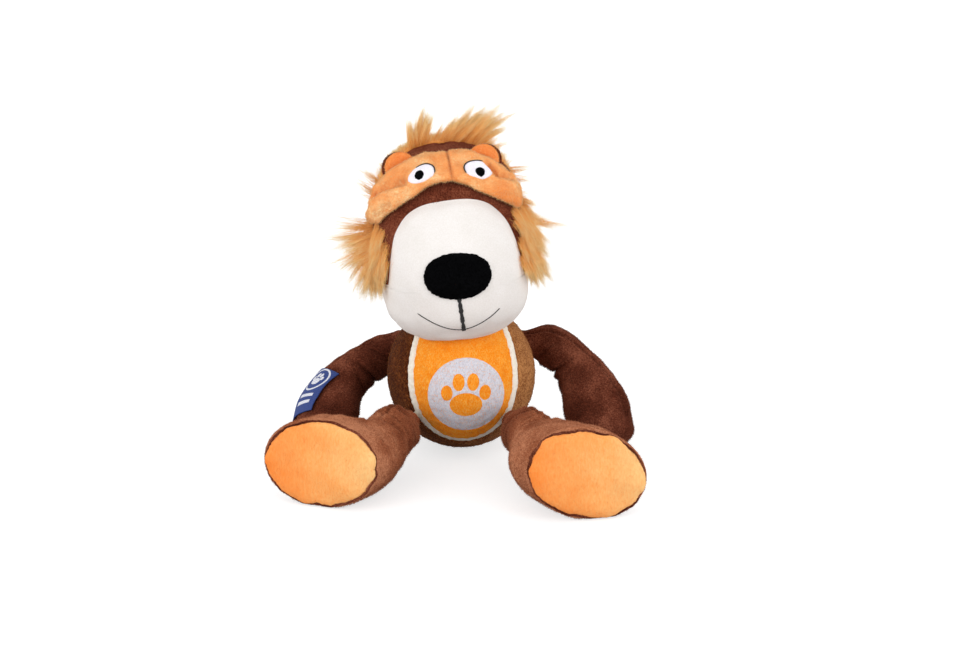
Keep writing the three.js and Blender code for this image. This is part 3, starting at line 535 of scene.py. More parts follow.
def slab(name, top, low, *finish):
    """A closed slab between two grids of points with the same rows and columns."""
    rows, columns = top.shape[:2]
    place = np.arange(rows * columns).reshape(rows, columns)
    rim = np.concatenate([place[0], place[1:-1, -1], place[-1, ::-1], place[-2:0:-1, 0]])
    after = np.roll(rim, -1)
    wall = np.stack([after, rim, rim + place.size, after + place.size], -1)
    faces = grid_faces(rows, columns)
    faces = np.concatenate([faces, faces[:, ::-1] + place.size, wall])
    piece = make(name, np.concatenate([top.reshape(-1, 3), low.reshape(-1, 3)]), [faces], *finish)
    tidy(piece)
    return piece


def circle(count):
    """Angles once around, the last a step before the first."""
    return np.linspace(0, 2 * math.pi, count, endpoint=False)


def bulge(count):
    """Shares from over 0 to 1 that lie closer together towards 1, as on a round edge."""
    return np.sin(np.linspace(0, 1, count + 1)[1:] * math.pi / 2)


def on_plane(origin, flat, across, rise):
    """Points of a plane, from places across and up on it."""
    return origin + flat[..., :1] * across + flat[..., 1:] * rise


def ring_of(turn, reach):
    """A closed wavy line in space, over which noise has no seam."""
    return np.stack([np.cos(turn), np.sin(turn), np.sin(2 * turn)], -1) * reach


def bell(distance, reach):
    """1 in the middle, falling smoothly to nearly nothing at twice the reach."""
    return np.exp(-((distance / reach) ** 2))


def lumps(points, size, seed):
    """A smooth random height between about -1 and 1 with bumps of one size."""
    rng = np.random.default_rng(seed)
    ways = unit(rng.normal(size=(LUMP_WAVES, 3))) * 2 * math.pi / size
    phases = rng.uniform(0, 2 * math.pi, LUMP_WAVES)
    return np.sin(np.asarray(points) @ ways.T + phases).sum(-1) / math.sqrt(LUMP_WAVES)


SHORTEST_SPAN = 1e-4


def catmull(rows, share):
    """A smooth curve through rows of numbers, at shares from 0 to 1."""
    rows = np.asarray(rows, float)
    rows = np.vstack([2 * rows[0] - rows[1], rows, 2 * rows[-1] - rows[-2]])
    spans = len(rows) - 3
    share = np.clip(np.asarray(share, float), 0, 1) * spans
    first = np.minimum(share.astype(int), spans - 1)
    w = (share - first)[..., None]
    a, b, c, d = (rows[first + step] for step in range(4))
    pairs = (a, b), (b, c), (c, d)
    before, here, after = (np.sum((q - p) ** 2, -1, keepdims=True) ** 0.25 for p, q in pairs)
    here = np.where(here < SHORTEST_SPAN, 1, here)
    before = np.where(before < SHORTEST_SPAN, here, before)
    after = np.where(after < SHORTEST_SPAN, here, after)
    out = ((b - a) / before - (c - a) / (before + here) + (c - b) / here) * here
    into = ((c - b) / here - (d - b) / (here + after) + (d - c) / after) * here
    return b + out * w + (-3 * b + 3 * c - 2 * out - into) * w**2 + (2 * b - 2 * c + out + into) * w**3


def near(points, curve):
    """The distance of each point to the nearest of a curve's points."""
    points = np.asarray(points)
    flat = points.reshape(-1, 3)
    least = np.full(len(flat), np.inf)
    for chunk in np.array_split(np.asarray(curve), max(1, len(curve) // 50)):
        gaps = np.linalg.norm(flat[:, None] - chunk[None], axis=-1).min(1)
        least = np.minimum(least, gaps)
    return least.reshape(points.shape[:-1])


# Fibres


def read(rows, what, kind=float):
    """Three numbers of each row of a mesh's data."""
    found = np.empty(len(rows) * 3, kind)
    rows.foreach_get(what, found)
    return found.reshape(-1, 3)


def scatter(piece, count, seed):
    """Random points on a piece, with their outward directions."""
    mesh = piece.data
    mesh.calc_loop_triangles()
    places, normals = read(mesh.vertices, "co") / MM, read(mesh.vertices, "normal")
    corners = read(mesh.loop_triangles, "vertices", np.int32)
    a, b, c = (places[corners[:, k]] for k in range(3))
    areas = np.linalg.norm(np.cross(b - a, c - a), axis=1)
    rng = np.random.default_rng(seed)
    picked = rng.choice(len(areas), count, p=areas / areas.sum())
    u, v = np.sqrt(rng.random(count)), rng.random(count)
    shares = np.stack([1 - u, u * (1 - v), u * v], -1)[..., None]
    roots = (places[corners[picked]] * shares).sum(1)
    return roots, unit((normals[corners[picked]] * shares).sum(1)), rng


FIBRE_TAPER = 0.75


def fibres(name, roots, ways, bends, lengths, widths, segments, paint, slot, body, rng):
    """Three-sided tapered fibres in one mesh. Each runs along its way and bends more towards its tip."""
    count = len(roots)
    ways = unit(ways)
    side = unit(np.cross(ways, rng.normal(size=(count, 3))))
    other = np.cross(ways, side)
    shares = np.linspace(0, 1, segments + 1)
    lengths = np.broadcast_to(lengths, count)[:, None]
    widths = np.broadcast_to(widths, count)[:, None]
    rings = []
    for share in shares[:-1]:
        middle = roots + ways * lengths * share + bends * lengths * share**2
        radius = widths / 2 * (1 - FIBRE_TAPER * share)
        for corner in range(3):
            turn = 2 * math.pi * corner / 3
            rings.append(middle + side * radius * math.cos(turn) + other * radius * math.sin(turn))
    rings.append(roots + ways * lengths + bends * lengths)
    points = np.stack(rings, 1)
    each = points.shape[1]
    base = np.arange(count)[:, None, None] * each
    quads = [
        [3 * ring + k, 3 * ring + (k + 1) % 3, 3 * ring + 3 + (k + 1) % 3, 3 * ring + 3 + k]
        for ring in range(segments - 1)
        for k in range(3)
    ]
    tip = 3 * segments
    ends = [[tip - 3 + k, tip - 3 + (k + 1) % 3, tip] for k in range(3)]
    faces = [(base + np.array(ends)[None]).reshape(-1, 3)]
    if quads:
        faces.append((base + np.array(quads)[None]).reshape(-1, 4))
    along = np.repeat(shares, [3] * segments + [1])
    uv = np.stack(np.broadcast_arrays(along[None], rng.random((count, 1))), -1).reshape(-1, 2)
    return make(name, points, faces, paint, slot, body, uv=uv)


def pile(piece, count, length, paint, comb, seed, keep=None, width=0.16):
    """Short pile over a piece, combed one way, with no tip under the floor."""
    roots, normals, rng = scatter(piece, count, seed)
    if keep is not None:
        held = keep(roots)
        roots, normals = roots[held], normals[held]
    comb = np.asarray(comb, float)
    bend = comb * PILE_BEND
    ways = unit(normals + comb * PILE_LEAN + rng.normal(scale=PILE_SPREAD, size=roots.shape))
    sizes = length * rng.uniform(0.6, 1.2, len(roots))
    lowest = np.clip((GAP / 2 - roots[:, 2]) / sizes - bend[2], -1, 0.9)
    rise = np.maximum(ways[:, 2], lowest)
    ways = np.column_stack([unit(ways[:, :2]) * np.sqrt(1 - rise**2)[:, None], rise])
    roots = roots - normals * PILE_SINK
    finish = (paint, piece["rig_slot"], piece["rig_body"], rng)
    return fibres(f"{piece.name}_pile", roots, ways, bend, sizes, width, 1, *finish)


def surface_of(*pieces):
    """The surfaces of pieces, as one thing that rays can meet, in millimetres."""
    points, faces = [], []
    for piece in pieces:
        start = len(points)
        points += [vertex.co / MM for vertex in piece.data.vertices]
        faces += [[start + corner for corner in face.vertices] for face in piece.data.polygons]
    return BVHTree.FromPolygons(points, faces)


def cast(surface, points, way):
    """Where rays that come from outside against a direction meet a surface."""
    points = np.asarray(points, float)
    flat = points.reshape(-1, 3)
    found = np.empty_like(flat)
    for place, point in enumerate(flat):
        hit = surface.ray_cast(Vector(point + way * RAY_REACH), Vector(-way), 2 * RAY_REACH)[0]
        if hit is None:
            hit = surface.find_nearest(Vector(point))[0]
        found[place] = hit
    return found.reshape(points.shape)


def patch(name, origin, across, rise, edge, height, surface, *finish, rings=14, around=72, sink=0.5, even=4):
    """A padded patch on a surface: edge gives its outline, height its thickness from middle to edge."""
    out = unit(np.cross(across, rise))
    turn = circle(around)
    outline = np.asarray(edge(turn))
    share = bulge(rings)
    points = on_plane(origin, outline[None] * share[:, None, None], across, rise)
    ground = cast(surface, points, out)
    depth = (ground - points) @ out
    for _ in range(even):
        depth = (np.roll(depth, 1, 1) + 2 * depth + np.roll(depth, -1, 1)) / 4
    ground = points + out * depth[..., None]
    middle = cast(surface, origin[None], out)[0]
    tops = ground + out * np.broadcast_to(height(share)[:, None, None], ground.shape[:2] + (1,))
    base = ground[::-1] - out * sink
    start = middle + out * float(height(np.zeros(1))[0])
    return loft(name, np.concatenate([tops, base]), start, middle - out * sink, *finish)


def tube(points, radius):
    """The rings of a round thread along a path, thinner towards its ends."""
    points = np.asarray(points, float)
    ahead = unit(np.gradient(points, axis=0))
    side = unit(np.cross(ahead, UP + 0.01))
    other = np.cross(ahead, side)
    turn = circle(THREAD_SIDES)[None, :, None]
    size = np.sqrt(np.clip(1 - np.linspace(-1, 1, len(points)) ** 6, 0.02, 1))
    ring = np.cos(turn) * side[:, None] + np.sin(turn) * other[:, None]
    return points[:, None] + ring * (radius * size)[:, None, None]


def threads(name, paths, radius, *finish):
    """Short closed threads, such as stitches, in one mesh."""
    points, quads, ends, start = [], [], [], 0
    for path in paths:
        rings = tube(path, radius)
        last = start + (len(rings) - 1) * THREAD_SIDES
        hub = last + THREAD_SIDES
        quads.append(grid_faces(len(rings), THREAD_SIDES, True) + start)
        ends += [fan(hub, start, THREAD_SIDES, False), fan(hub + 1, last, THREAD_SIDES, True)]
        points += [rings.reshape(-1, 3), rings[0].mean(0)[None], rings[-1].mean(0)[None]]
        start = hub + 2
    return make(name, np.vstack(points), [np.concatenate(quads), np.concatenate(ends)], *finish)


# Ball: two felt panels and the cream seam between them

WAVE_MAIN_SHARE = 0.75
WAVE_THIRD_SHARE = 0.25
WAVE_RISE_SHARE = 2 * math.sqrt(WAVE_MAIN_SHARE * WAVE_THIRD_SHARE)
SEAM_UNDER = 0.7
SEAM_DROP = 0.65
SEAM_CROWN = 0.4
SEAM_STEP = 0.001
SEAM_STEPS = 480
SEAM_AROUND = 10


def turn_about(axis, degrees):
    """A turn about one of the frame's axes, as a table of three by three."""
    return np.array(Matrix.Rotation(math.radians(degrees), 3, axis))


pattern_turn = turn_about("Z", PATTERN_YAW) @ turn_about("X", -PATTERN_LEAN) @ turn_about("Z", -45)


def seam_direction(turn):
    """The seam's closed wave, as directions from the ball's middle."""
    x = WAVE_MAIN_SHARE * np.cos(turn) + WAVE_THIRD_SHARE * np.cos(3 * turn)
    y = WAVE_MAIN_SHARE * np.sin(turn) - WAVE_THIRD_SHARE * np.sin(3 * turn)
    return unit(np.stack([x, y, WAVE_RISE_SHARE * np.sin(2 * turn)], -1))


def beside_seam(turn, distance):
    """A point of the seam, moved sideways over the ball."""
    here = seam_direction(turn)
    ahead = unit(seam_direction(turn + SEAM_STEP) - seam_direction(turn - SEAM_STEP))
    side = unit(np.cross(here, ahead))
    angle = np.asarray(distance / BALL_RADIUS)[..., None]
    return here * np.cos(angle) + side * np.sin(angle)


def on_ball(points):
    """Points of the ball's own pattern, turned into their place and kept over the floor."""
    points = points @ pattern_turn.T + ball_centre
    points[..., 2] = np.maximum(points[..., 2], 0)
    return points


def ragged(turn, seed, size=0.35):
    """An uneven edge of felt, as a distance along the seam."""
    ring = ring_of(turn, BALL_RADIUS)
    return size * (0.5 * lumps(ring, 9, seed) + 0.5 * lumps(ring, 2.6, seed + 1))


FELT_ROWS = 200
FELT_COLUMNS = 72
FELT_EDGE_DROP = 0.9
FELT_EDGE_REACH = 0.7
FELT_INSIDE = BALL_RADIUS - FELT_THICK + GAP


def felt_panel(name, second, paint, slot, seed):
    """One of the two equal panels, from rows that run from one side of the seam to the other."""
    turn = -math.pi / 4 + math.pi * np.linspace(0, 1, FELT_ROWS + 1)
    edge = beside_seam(turn, SEAM_WIDTH / 2 + GAP / 3 + ragged(turn, seed))
    across = unit(np.array([1.0, 1.0, 0.0]))
    width = edge @ across
    middle = unit(edge - width[:, None] * across)
    share = np.linspace(-1, 1, FELT_COLUMNS + 1)
    reach = np.arcsin(width)[:, None] * share[None]
    ways = middle[:, None] * np.cos(reach)[..., None] + across * np.sin(reach)[..., None]
    row = np.arange(FELT_ROWS + 1)
    end_gap = np.minimum(row, row[::-1])[:, None] * math.pi / FELT_ROWS
    side_gap = np.arcsin(width)[:, None] * (1 - np.abs(share))[None]
    border = np.minimum(end_gap, side_gap) * BALL_RADIUS
    drop = FELT_EDGE_DROP * np.exp(-border / FELT_EDGE_REACH)
    outer = BALL_RADIUS - drop + 0.12 * lumps(ways * BALL_RADIUS, 3, seed + 2)
    if second:
        ways = ways @ turn_about("X", 180).T
    return slab(name, on_ball(ways * outer[..., None]), on_ball(ways * FELT_INSIDE), paint, slot, "ball")


def seam_strip():
    """A rubber band along the seam, a little uneven, that lies lower than the felt."""
    turn = circle(SEAM_STEPS)
    section = np.linspace(-1, 1, SEAM_AROUND)
    half = SEAM_WIDTH / 2 + SEAM_UNDER + ragged(turn, 5, 0.4)
    side = half[:, None] * section[None]
    ways = beside_seam(np.repeat(turn, SEAM_AROUND), side.ravel()).reshape(SEAM_STEPS, SEAM_AROUND, 3)
    crown = SEAM_CROWN * (1 - section**2)[None]
    radius = BALL_RADIUS - SEAM_DROP + crown + 0.1 * lumps(ways * BALL_RADIUS, 2, 6)
    rings = np.concatenate([ways * radius[..., None], ways[:, ::-1] * FELT_INSIDE], 1)
    faces = grid_faces(SEAM_STEPS + 1, 2 * SEAM_AROUND, True) % (2 * SEAM_AROUND * SEAM_STEPS)
    piece = make("ball_seam", on_ball(rings), [faces], "seam", "seam_rubber", "ball")
    tidy(piece)
    return piece


FUZZ_DEEPEST = 1
FUZZ_LOWEST = 1.5
FUZZ_LENGTHS = (0.7, 1.7)
FUZZ_WIDTH = 0.11


def fuzz(piece, count, paint, seed):
    """Loose felt fibres that lie nearly flat in all directions."""
    roots, normals, rng = scatter(piece, count, seed)
    held = np.linalg.norm(roots - ball_centre, axis=1) > BALL_RADIUS - FUZZ_DEEPEST
    held &= roots[:, 2] > FUZZ_LOWEST
    roots, normals = roots[held], normals[held]
    flat = unit(np.cross(normals, rng.normal(size=roots.shape)))
    ways = flat + normals * rng.uniform(0.15, 0.7, (len(roots), 1))
    bends = -normals * 0.3 + 0.2 * rng.normal(size=roots.shape)
    sizes = rng.uniform(*FUZZ_LENGTHS, len(roots))
    finish = (paint, piece["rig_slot"], piece["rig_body"], rng)
    return fibres(f"{piece.name}_fuzz", roots, ways, bends, sizes, FUZZ_WIDTH, 2, *finish)


def build_ball():
    """The two felt panels, the seam between them and their fuzz."""
    orange = felt_panel("ball_felt_orange", False, "orange_felt", "orange_felt", 11)
    brown = felt_panel("ball_felt_brown", True, "brown_felt", "brown_felt", 21)
    strip = seam_strip()
    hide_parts("felt_orange")
    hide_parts("felt_brown")
    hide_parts("seam_strip")
    fuzz(brown, 16000, "brown_fuzz", 31)
    fuzz(orange, 9000, "orange_fuzz", 32)


# Head: its own frame has the middle of the ball as its origin and the face towards -Y

HEAD_SHARES = np.array(
    [
        [0, 0, 0.3, -0.3],
        [0.045, 0.5, 0.66, 0],
        [0.105, 0.77, 0.82, 0.38],
        [0.19, 0.92, 0.94, 0.7],
        [0.31, 0.97, 0.99, 0.9],
        [0.43, 1, 1, 0.99],
        [0.56, 1, 0.94, 1],
        [0.68, 0.97, 0.83, 0.98],
        [0.8, 0.88, 0.67, 0.9],
        [0.9, 0.7, 0.47, 0.75],
        [0.97, 0.42, 0.22, 0.48],
        [1, 0, -0.07, 0.07],
    ]
)
HEAD_SIDES = np.stack([HEAD_SHARES[:, 1], 0 * HEAD_SHARES[:, 0], HEAD_SHARES[:, 0]], -1)
HEAD_DEPTHS = np.stack([HEAD_SHARES[:, 2], HEAD_SHARES[:, 3], HEAD_SHARES[:, 0]], -1)
ARCH_SIDE_SHARE = 0.65
ARCH_FOOT_SHARE = 0.99
ARCH_SHOULDER_SHARE = 0.95
ARCH_CROWN_SHARE = 0.48


def head_section(level, grow=0.0):
    """Half width, middle depth, half depth and height of the head at a level."""
    side = catmull(HEAD_SIDES, level)
    depth = catmull(HEAD_DEPTHS, level)
    tip = (level <= 0) | (level >= 1)
    wide = np.where(tip, 0, np.maximum(HEAD_HALF_WIDTH * side[..., 0] + grow, 0))
    middle = (HEAD_BACK * depth[..., 1] - HEAD_FRONT * depth[..., 0]) / 2
    deep = np.where(tip, 0, (HEAD_BACK * depth[..., 1] + HEAD_FRONT * depth[..., 0]) / 2 + grow)
    height = HEAD_BOTTOM + HEAD_HEIGHT * side[..., 2] + grow * (2 * side[..., 2] - 1)
    return wide, middle, deep, height


def head_point(level, angle, grow=0.0):
    """Points of the head's plain form, at shares of its height and angles from its front."""
    level, angle, grow = np.broadcast_arrays(level, angle, grow)
    wide, middle, deep, height = head_section(level, grow)
    x = wide * power(np.sin(angle), 2 / HEAD_FULLNESS)
    y = middle - deep * power(np.cos(angle), 2 / HEAD_FULLNESS)
    return np.stack([x, y, height], -1)


LEVELS = np.linspace(0, 1, 4001)
LEVEL_HEIGHTS = head_section(LEVELS)[3]


def level_of(height):
    """The share of the head's height at which a height lies."""
    return np.interp(height, LEVEL_HEIGHTS, LEVELS)


LEVEL_STEP = 0.01


def head_place(level, angle):
    """Points of the head's surface with their outward directions."""
    level, angle = np.broadcast_arrays(level, angle)
    after = np.minimum(level + LEVEL_STEP, 1 - LEVEL_STEP)
    point = head_point(level, angle)
    along = head_point(level, angle + LEVEL_STEP) - head_point(level, angle - LEVEL_STEP)
    rise = head_point(after, angle) - head_point(level - LEVEL_STEP, angle)
    return point, unit(np.cross(along, rise))


def bezier(points, count):
    """Points along a smooth curve that is drawn by its control points."""
    points = np.asarray(points, float)
    t = np.linspace(0, 1, count)[:, None]
    while len(points) > 1:
        points = [a * (1 - t) + b * t for a, b in zip(points[:-1], points[1:])]
    return points[0]


arch_low = ARCH_HEIGHT * ARCH_FOOT_SHARE
arch_side = ARCH_HEIGHT * ARCH_SIDE_SHARE
arch_shoulder = (ARCH_HALF_WIDTH, ARCH_HEIGHT)
arch_foot = [(2 * HEAD_HALF_WIDTH, arch_side), (ARCH_HALF_WIDTH, arch_low), arch_shoulder]
arch_bow = [
    arch_shoulder,
    (ARCH_HALF_WIDTH * ARCH_SHOULDER_SHARE, ARCH_TOP - ARCH_ROUND),
    (ARCH_HALF_WIDTH * ARCH_CROWN_SHARE, ARCH_TOP),
    (0, ARCH_TOP),
]
arch_line = np.vstack([bezier(arch_foot, 60), bezier(arch_bow, 120)])


def plane_angle(level, depth):
    """The angle at which the head's surface passes a depth."""
    _, middle, deep, _ = head_section(level)
    share = np.clip((middle - depth) / np.maximum(deep, 1e-6), -1, 1)
    return np.arccos(power(share, HEAD_FULLNESS / 2))


def face_angle(level):
    """The angle at which the white face ends, at each level."""
    wide, _, _, height = head_section(level)
    reach = np.interp(height, arch_line[:, 1], arch_line[:, 0])
    reach = np.where(height < arch_side, 2 * HEAD_HALF_WIDTH, reach)
    share = np.clip(reach / np.maximum(wide, 1e-6), 0, 1)
    angle = np.arcsin(share ** (HEAD_FULLNESS / 2))
    side = plane_angle(level, -SIDE_SEAM_BACK)
    angle = np.where(share >= 1, side, np.minimum(angle, side))
    return np.where(height >= ARCH_TOP - 1e-3, 0, angle)


def both_sides(levels, angles):
    """The points of a seam that runs up both sides of the head."""
    return np.vstack([head_point(levels, sign * angles) for sign in (-1, 1)])


side_levels = np.linspace(0.02, level_of(ARCH_TOP) - 0.01, 160)
top_levels = level_of(ARCH_TOP - np.linspace(1, 0, 60) ** 2)
seam_levels = np.concatenate([side_levels, top_levels])
face_seam = both_sides(seam_levels, face_angle(seam_levels))
back_levels = np.linspace(0.05, 1, 200)
back_seam = both_sides(back_levels, plane_angle(back_levels, BROW_BACK))

NOD_STEPS = 7


def clear_of_ball(points, more=0.0):
    """Moves points out of the way that the ball takes under the head as it nods."""
    radius = BALL_RADIUS + SEAT_CLEARANCE + more
    pivot = joint_place("neck_nod")
    reach = np.linalg.norm(pivot - ball_centre)
    for share in np.linspace(0, 1, NOD_STEPS):
        angle = math.radians(NOD_RANGE * share)
        centre = np.array([0, math.sin(angle), -math.cos(angle)]) * reach + np.array([0, 0, reach])
        away = points - centre
        gap = np.linalg.norm(away, axis=-1, keepdims=True)
        points = np.where(gap < radius, centre + unit(away) * radius, points)
    return points


def off_ball(roots):
    """Which places on the head stay away from the ball at every nod, by more than their pile."""
    places = (roots - ball_centre) @ head_turn
    return np.linalg.norm(clear_of_ball(places, PILE_ROOM) - places, axis=1) < GAP / 3


# How far the head's seams draw the cloth in: depth and reach of each
FACE_SEAM_DIP = (0.9, 2.6)
BACK_SEAM_DIP = (1.1, 1.5)
FACE_SEAM_FADE = 12


def head_skin(level, angle):
    """The head's sewn surface: drawn in at the seams and a little uneven."""
    plain = head_point(level, angle)
    low = np.clip((plain[..., 2] - ARCH_HEIGHT) / FACE_SEAM_FADE, 0, 1)
    depth, reach = FACE_SEAM_DIP
    dip = depth * low * bell(near(plain, face_seam), reach)
    depth, reach = BACK_SEAM_DIP
    dip += depth * bell(near(plain, back_seam), reach)
    soft = 0.25 * lumps(plain, 26, 41) + 0.1 * lumps(plain, 9, 42)
    return clear_of_ball(head_point(level, angle, soft - dip))


SEAT_HIDDEN = 5


def inside_seat(points):
    """How far points are inside the ball's place, before they are moved out of it."""
    return BALL_RADIUS + SEAT_CLEARANCE - np.linalg.norm(points, axis=-1)


def head_panel(name, level, angle, paint, node, slot):
    """A panel of the head from a grid of levels and angles, without what lies deep in the seat."""
    level = level + 0 * angle
    rows, columns = level.shape
    points = head_skin(level, angle)
    faces = grid_faces(rows, columns)
    deep = inside_seat(head_point(level, angle)).ravel() > SEAT_HIDDEN
    faces = faces[~deep[faces].all(1)]
    piece = make(name, head_to_world(points), [faces], paint, slot, "head")
    tidy(piece)
    thicken(piece, FABRIC)
    stuffed(piece, node, fill=0.9)
    return piece


HEAD_LOW = 0.015


def build_head():
    """The white face, the brown brow that rises behind it and the brown back."""
    top = level_of(ARCH_TOP)
    rise = np.linspace(0, 1, 110)
    level = HEAD_LOW + (top - HEAD_LOW) * np.sin(rise * math.pi / 2)[:, None]
    across = np.linspace(-1, 1, 121)[None]
    face = head_panel("head_face", level, face_angle(level) * across, "white", "face_panel", "white_plush")
    crown = top + (1 - top) * (1 - np.cos(np.linspace(0, 1, 50)[1:] * math.pi / 2))[:, None]
    levels = np.vstack([level, crown])
    inner, outer = face_angle(levels), plane_angle(levels, BROW_BACK)
    halves = inner + (outer - inner) * np.linspace(0, 1, 61)[None]
    angle = np.hstack([-halves[:, ::-1], halves])
    brow = head_panel("head_brow", levels, angle, "head_brown", "brow_panel", "brown_plush")
    angle = outer + (2 * math.pi - 2 * outer) * np.linspace(0, 1, 101)[None]
    back = head_panel("head_back", levels, angle, "head_brown", "back_panel", "brown_plush")
    return face, brow, back


SEAT_ROWS = 26
SEAT_COLUMNS = 96
SEAT_HOLE = 0.12
SEAT_ANGLE = 1.25


def seat_lining():
    """The cloth of the hollow that the ball sits in."""
    polar = np.linspace(SEAT_HOLE, 1, SEAT_ROWS)[:, None] * SEAT_ANGLE
    turn = circle(SEAT_COLUMNS)[None]
    flat = np.sin(polar)
    ways = np.stack(np.broadcast_arrays(flat * np.cos(turn), flat * np.sin(turn), np.cos(polar)), -1)
    radius = BALL_RADIUS + SEAT_CLEARANCE + FABRIC / 3
    points = clear_of_ball(ways * radius)
    held = head_holds(points + ways * FABRIC)
    faces = grid_faces(SEAT_ROWS, SEAT_COLUMNS, True)
    faces = faces[held.ravel()[faces].all(1)]
    piece = make("head_seat", head_to_world(points), [faces], "brown", "brown_plush", "head")
    tidy(piece)
    thicken(piece, -FABRIC / 2)
    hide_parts("seat_panel")


FAR_OUTSIDE = 9.0


def head_depth(points):
    """How deep points lie in the head's plain form: 1 on its surface and more outside."""
    level = level_of(points[..., 2])
    wide, middle, deep, _ = head_section(level)
    x = np.abs(points[..., 0] / np.maximum(wide, 1e-6)) ** HEAD_FULLNESS
    y = np.abs((points[..., 1] - middle) / np.maximum(deep, 1e-6)) ** HEAD_FULLNESS
    outside = (points[..., 2] <= HEAD_BOTTOM) | (points[..., 2] >= HEAD_BOTTOM + HEAD_HEIGHT)
    return np.where(outside, FAR_OUTSIDE, np.minimum(x + y, FAR_OUTSIDE))


AWAY_STEP = 0.4


def head_away(points):
    """The outward directions of the head's plain form."""
    steps = AWAY_STEP * np.eye(3)
    ways = [head_depth(points + step) - head_depth(points - step) for step in steps]
    return unit(np.clip(np.stack(ways, -1), -2, 2))


def head_holds(points):
    """Which points lie inside the head's plain form."""
    return head_depth(points) < 1


def head_filling():
    """The head's stuffing, inside its cloth and clear of the ball."""
    level = (1 - np.cos(np.linspace(0, 1, 26)[1:-1] * math.pi)) / 2
    turn = circle(40)
    grow = -2 * FABRIC
    rings = clear_of_ball(head_point(level[:, None], turn[None], grow))
    low, high = (clear_of_ball(head_point(np.array(end), 0.0, grow)) for end in (0.0, 1.0))
    piece = loft("head_filling", *map(head_to_world, (rings, low, high)), "fibre", "fibre", "head")
    stuffed(piece, "head_stuffing", fill=0.9)


# Face: nose, stitched line and smile

across_way, back_way, up_way = (head_turn[:, axis] for axis in range(3))
BLACK_CLOTH = ("black", "black_plush", "head")
BLACK_THREAD = ("thread", "black_plush", "head")
NOSE_FULLNESS = 3.2


def scalloped(half_wide, half_high, uneven, size, seed, square=2.0):
    """An oval outline with small uneven waves along it."""

    def edge(turn):
        ring = np.stack([np.cos(turn), np.sin(turn), 0 * turn], -1) * half_wide
        wave = 1 + uneven * lumps(ring, size, seed) / half_wide
        x = half_wide * power(np.cos(turn), 2 / square) * wave
        y = half_high * power(np.sin(turn), 2 / square) * wave
        return np.stack([x, y], -1)

    return edge


def nose_height(share):
    """The nose's thickness from its middle to its edge."""
    return NOSE_PROUD * np.sqrt(np.clip(1 - share**NOSE_FULLNESS, 0, 1))


def face_point(x, z, ground):
    """A point of the face under a place in its front view."""
    start = head_to_world(np.stack([x, np.full_like(x, -HEAD_FRONT), z], -1))
    return cast(ground, start, -back_way)


def build_nose(ground):
    """The nose: a black padded oval with an uneven edge."""
    origin = head_to_world(np.array([0.0, -HEAD_FRONT, NOSE_HEIGHT]))
    edge = scalloped(NOSE_HALF_WIDTH, NOSE_HALF_HEIGHT, 0.17, 2.2, 62, square=2.15)
    shape = (across_way, up_way, edge, nose_height, ground)
    nose = patch("nose_pad", origin, *shape, *BLACK_CLOTH, rings=18, around=170)
    stuffed(nose, "nose")
    return nose


NOSE_LINE_PAST = 0.6
NOSE_LINE_PITCH = 0.3
NOSE_LINE_DRIFT = (0.9, -0.3)
NOSE_LINE_RADIUS = 0.22


def build_nose_line(ground):
    """Threads side by side across the line from the smile to the nose."""
    top, low = NOSE_HEIGHT - NOSE_HALF_HEIGHT + NOSE_LINE_PAST, MOUTH_HEIGHT - NOSE_LINE_PAST
    rows = np.arange(low, top, NOSE_LINE_PITCH)
    drift = np.interp(rows, [low, top], NOSE_LINE_DRIFT)
    wide = PHILTRUM_WIDTH / 2 * (0.9 + 0.16 * lumps(np.outer(rows, UP), 1.6, 63))
    span = np.linspace(-1, 1, 7)
    x = drift[:, None] + wide[:, None] * span[None]
    z = rows[:, None] + 0.2 * span[None]
    lift = 0.35 * (1 - span**2)[None, :, None] - 0.05
    paths = face_point(x, z, ground) - back_way * lift
    line = threads("nose_line", paths, NOSE_LINE_RADIUS, *BLACK_THREAD)
    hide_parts("philtrum_stitch")


SMILE_BEND = 1.7
SMILE_STITCH = 15
SMILE_STEP = 9
SMILE_RADIUS = 0.24


def build_smile(ground):
    """Stitches that overlap along the mouth's curve, each rising out of the cloth."""
    across = np.linspace(-MOUTH_HALF_SPAN, MOUTH_HALF_SPAN, 240)
    drop = MOUTH_HEIGHT + MOUTH_DIP * np.abs(across / MOUTH_HALF_SPAN) ** SMILE_BEND
    curve = face_point(across, drop, ground)
    starts = range(0, len(curve) - SMILE_STITCH, SMILE_STEP)
    lift = back_way * np.linspace(-0.12, 0.18, SMILE_STITCH)[:, None]
    paths = [curve[start : start + SMILE_STITCH] - lift for start in starts]
    smile = threads("smile", paths, SMILE_RADIUS, *BLACK_THREAD)
    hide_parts("mouth_stitch")


def build_face_marks(face):
    """Everything that is sewn on the white face."""
    ground = surface_of(face)
    nose = build_nose(ground)
    build_nose_line(ground)
    build_smile(ground)
    pile(nose, 6000, 0.8, "black_pile", (0, 0, -0.4), 61)


# Mask: a padded band with eyes, sewn to a thin lining

MASK_MIDDLE = GAP + (MASK_THICK + MASK_LINING + GAP) / 2
MASK_SEAM = 0.07
MASK_SHORT = 0.12
MASK_PINCH = 0.25
MASK_PINCH_REACH = 0.35
MASK_TUCK = 0.05
MASK_FULLNESS = 0.7
MASK_END = 0.9999

# Creases of the mask: places along it and up it, both as shares, from the eyes outwards
CREASES = {
    -1: ((0.47, -0.24), (0.54, -0.2), (0.62, -0.12), (0.73, 0.0), (0.86, 0.12)),
    1: ((0.57, 0.26), (0.6, 0.06), (0.65, -0.1), (0.75, 0.0), (0.9, 0.2)),
}


